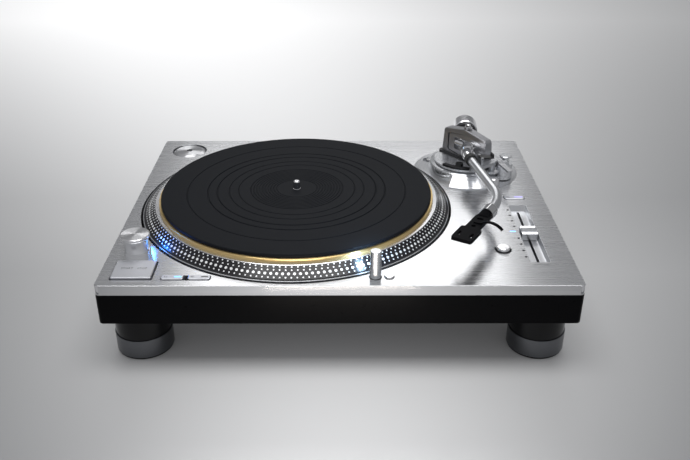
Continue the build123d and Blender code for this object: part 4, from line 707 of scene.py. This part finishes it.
def stage_floor():
    """A wide floor with a faint shine and painted light: pale along the middle, with painted shade greyer to
    both sides.

    Its painted light is 1 / (1 + off^2), where off is the sideways distance from a line that drifts to the
    left as it goes back, over a width that grows towards the back. In front of the view painted shade slowly
    darkens it. The floor also glows in the same pattern as a painted glow, faint near the player and
    stronger far behind.
    """
    mesh = bpy.data.meshes.new("floor")
    corners = ((-1, -1), (1, -1), (1, 1), (-1, 1))
    mesh.from_pydata([(FLOOR_REACH * x, FLOOR_REACH * y, 0.0) for x, y in corners], [], [(0, 1, 2, 3)])
    floor = bpy.data.objects.new("floor", mesh)
    bpy.context.scene.collection.objects.link(floor)
    finish = Finish("floor with painted light", FLOOR_PALE, 0.0, FLOOR_ROUGHNESS)
    parts = finish.node("ShaderNodeSeparateXYZ")
    finish.join(finish.place(), parts.inputs[0])
    x = finish.math("MULTIPLY", parts.outputs[0], MM)
    back = finish.math("MULTIPLY", parts.outputs[1], MM)
    # Painted light and shade: the colour is pale along a drifting band, fades to near black at the sides and
    # darkens in front of the view
    drift = finish.math("MULTIPLY", finish.math("MAXIMUM", back, 0.0), FLOOR_DRIFT)
    width = finish.math("ADD", finish.math("MULTIPLY", back, FLOOR_WIDENING), FLOOR_WIDTH)
    width = finish.math("MAXIMUM", width, FLOOR_LEAST_WIDTH)
    off = finish.math("DIVIDE", finish.math("SUBTRACT", x, drift), width)
    fall = finish.math("DIVIDE", 1.0, finish.math("ADD", 1.0, finish.math("MULTIPLY", off, off)))
    before = finish.math("DIVIDE", finish.math("SUBTRACT", back, PAINTED_SHADE_FROM), PAINTED_SHADE_DEPTH)
    fall = finish.math("MULTIPLY", fall, finish.spread(before, 0.0, 1.0))
    finish.join(finish.blend_colours(fall, FLOOR_PAINTED_SHADE, FLOOR_PALE), finish.shader.inputs["Base Color"])
    # Painted glow: the floor emits light in the same pattern, faint near the player and stronger far behind
    behind = finish.math("SUBTRACT", back, PAINTED_GLOW_STARTS)
    far = finish.math("MULTIPLY", finish.spread(behind, PAINTED_GLOW_LEAST, PAINTED_GLOW_MOST), fall)
    finish.shader.inputs["Emission Color"].default_value = (1.0, 1.0, 1.0, 1.0)
    finish.join(far, finish.shader.inputs["Emission Strength"])
    floor.data.materials.append(finish.material)


def soft_light(name, place, target, width, height, power, colour=(1.0, 1.0, 1.0)):
    """A rectangular soft light at a place, facing a target, both in metres."""
    lamp = bpy.data.lights.new(name, "AREA")
    lamp.shape = "RECTANGLE"
    lamp.size = width
    lamp.size_y = height
    lamp.energy = power
    lamp.color = colour
    light = bpy.data.objects.new(name, lamp)
    bpy.context.scene.collection.objects.link(light)
    light.location = place
    light.rotation_euler = (Vector(target) - Vector(place)).to_track_quat("-Z", "Y").to_euler()


def studio_world():
    """Pale walls and ceiling, with a darker wall low behind the player that its deck mirrors.

    The dark is the product of two ramps of the direction: one rises as it turns to the back, and one
    falls as it turns up. The strength is WALL_PALE where that is 0 and WALL_DARK where it is 1.
    """
    world = bpy.data.worlds.new("studio")
    world.use_nodes = True
    tree = world.node_tree
    background = tree.nodes["Background"]
    background.inputs["Color"].default_value = (*WALL_TINT, 1.0)
    direction = tree.nodes.new("ShaderNodeTexCoord")
    parts = tree.nodes.new("ShaderNodeSeparateXYZ")
    tree.links.new(direction.outputs["Generated"], parts.inputs[0])
    ramps = []
    for output, (low, high) in (("Y", TOWARDS_BACK), ("Z", TOWARDS_TOP)):
        ramp = tree.nodes.new("ShaderNodeMapRange")
        ramp.inputs["From Min"].default_value = low
        ramp.inputs["From Max"].default_value = high
        tree.links.new(parts.outputs[output], ramp.inputs["Value"])
        ramps.append(ramp)
    both = tree.nodes.new("ShaderNodeMath")
    both.operation = "MULTIPLY"
    for slot_number, ramp in enumerate(ramps):
        tree.links.new(ramp.outputs["Result"], both.inputs[slot_number])
    strength = tree.nodes.new("ShaderNodeMapRange")
    strength.inputs["To Min"].default_value = WALL_PALE
    strength.inputs["To Max"].default_value = WALL_DARK
    tree.links.new(both.outputs[0], strength.inputs["Value"])
    tree.links.new(strength.outputs["Result"], background.inputs["Strength"])
    bpy.context.scene.world = world


stage_floor()
soft_light("back_panel", (0.02, 1.5, 1.3), (0.0, 0.0, 0.1), width=1.1, height=0.7, power=4.9)
soft_light("top_light", (0.0, -0.45, 1.9), (0.0, -0.2, 0.0), width=1.7, height=1.0, power=21.0)
soft_light("front_strip", (0.0, -0.40, 0.004), (0.0, -0.40, 1.0), width=0.17, height=0.12, power=0.75,
           colour=(1.0, 0.9, 0.8))
soft_light("strobe_glow", deck_point(-186.0, 70.5, 7.0), deck_point(-165.0, 76.0, 2.0), width=0.012,
           height=0.01, power=0.014, colour=(0.03, 0.22, 1.0))
soft_light("lamp_glow", deck_point(33.1, 23.0, 30.0), deck_point(20.0, 60.0, 10.0), width=0.006,
           height=0.006, power=0.03, colour=(0.45, 0.7, 1.0))
studio_world()
bpy.context.scene.view_settings.view_transform = "Standard"

lens = bpy.data.cameras.new("photo_camera")
lens.sensor_width = SENSOR_WIDTH
lens.lens = FOCAL_LENGTH
camera = bpy.data.objects.new("photo_camera", lens)
bpy.context.scene.collection.objects.link(camera)
camera.location = CAMERA_PLACE
camera.rotation_euler = (pi / 2 - radians(CAMERA_DOWN), 0.0, CAMERA_ROLL)
bpy.context.scene.camera = camera
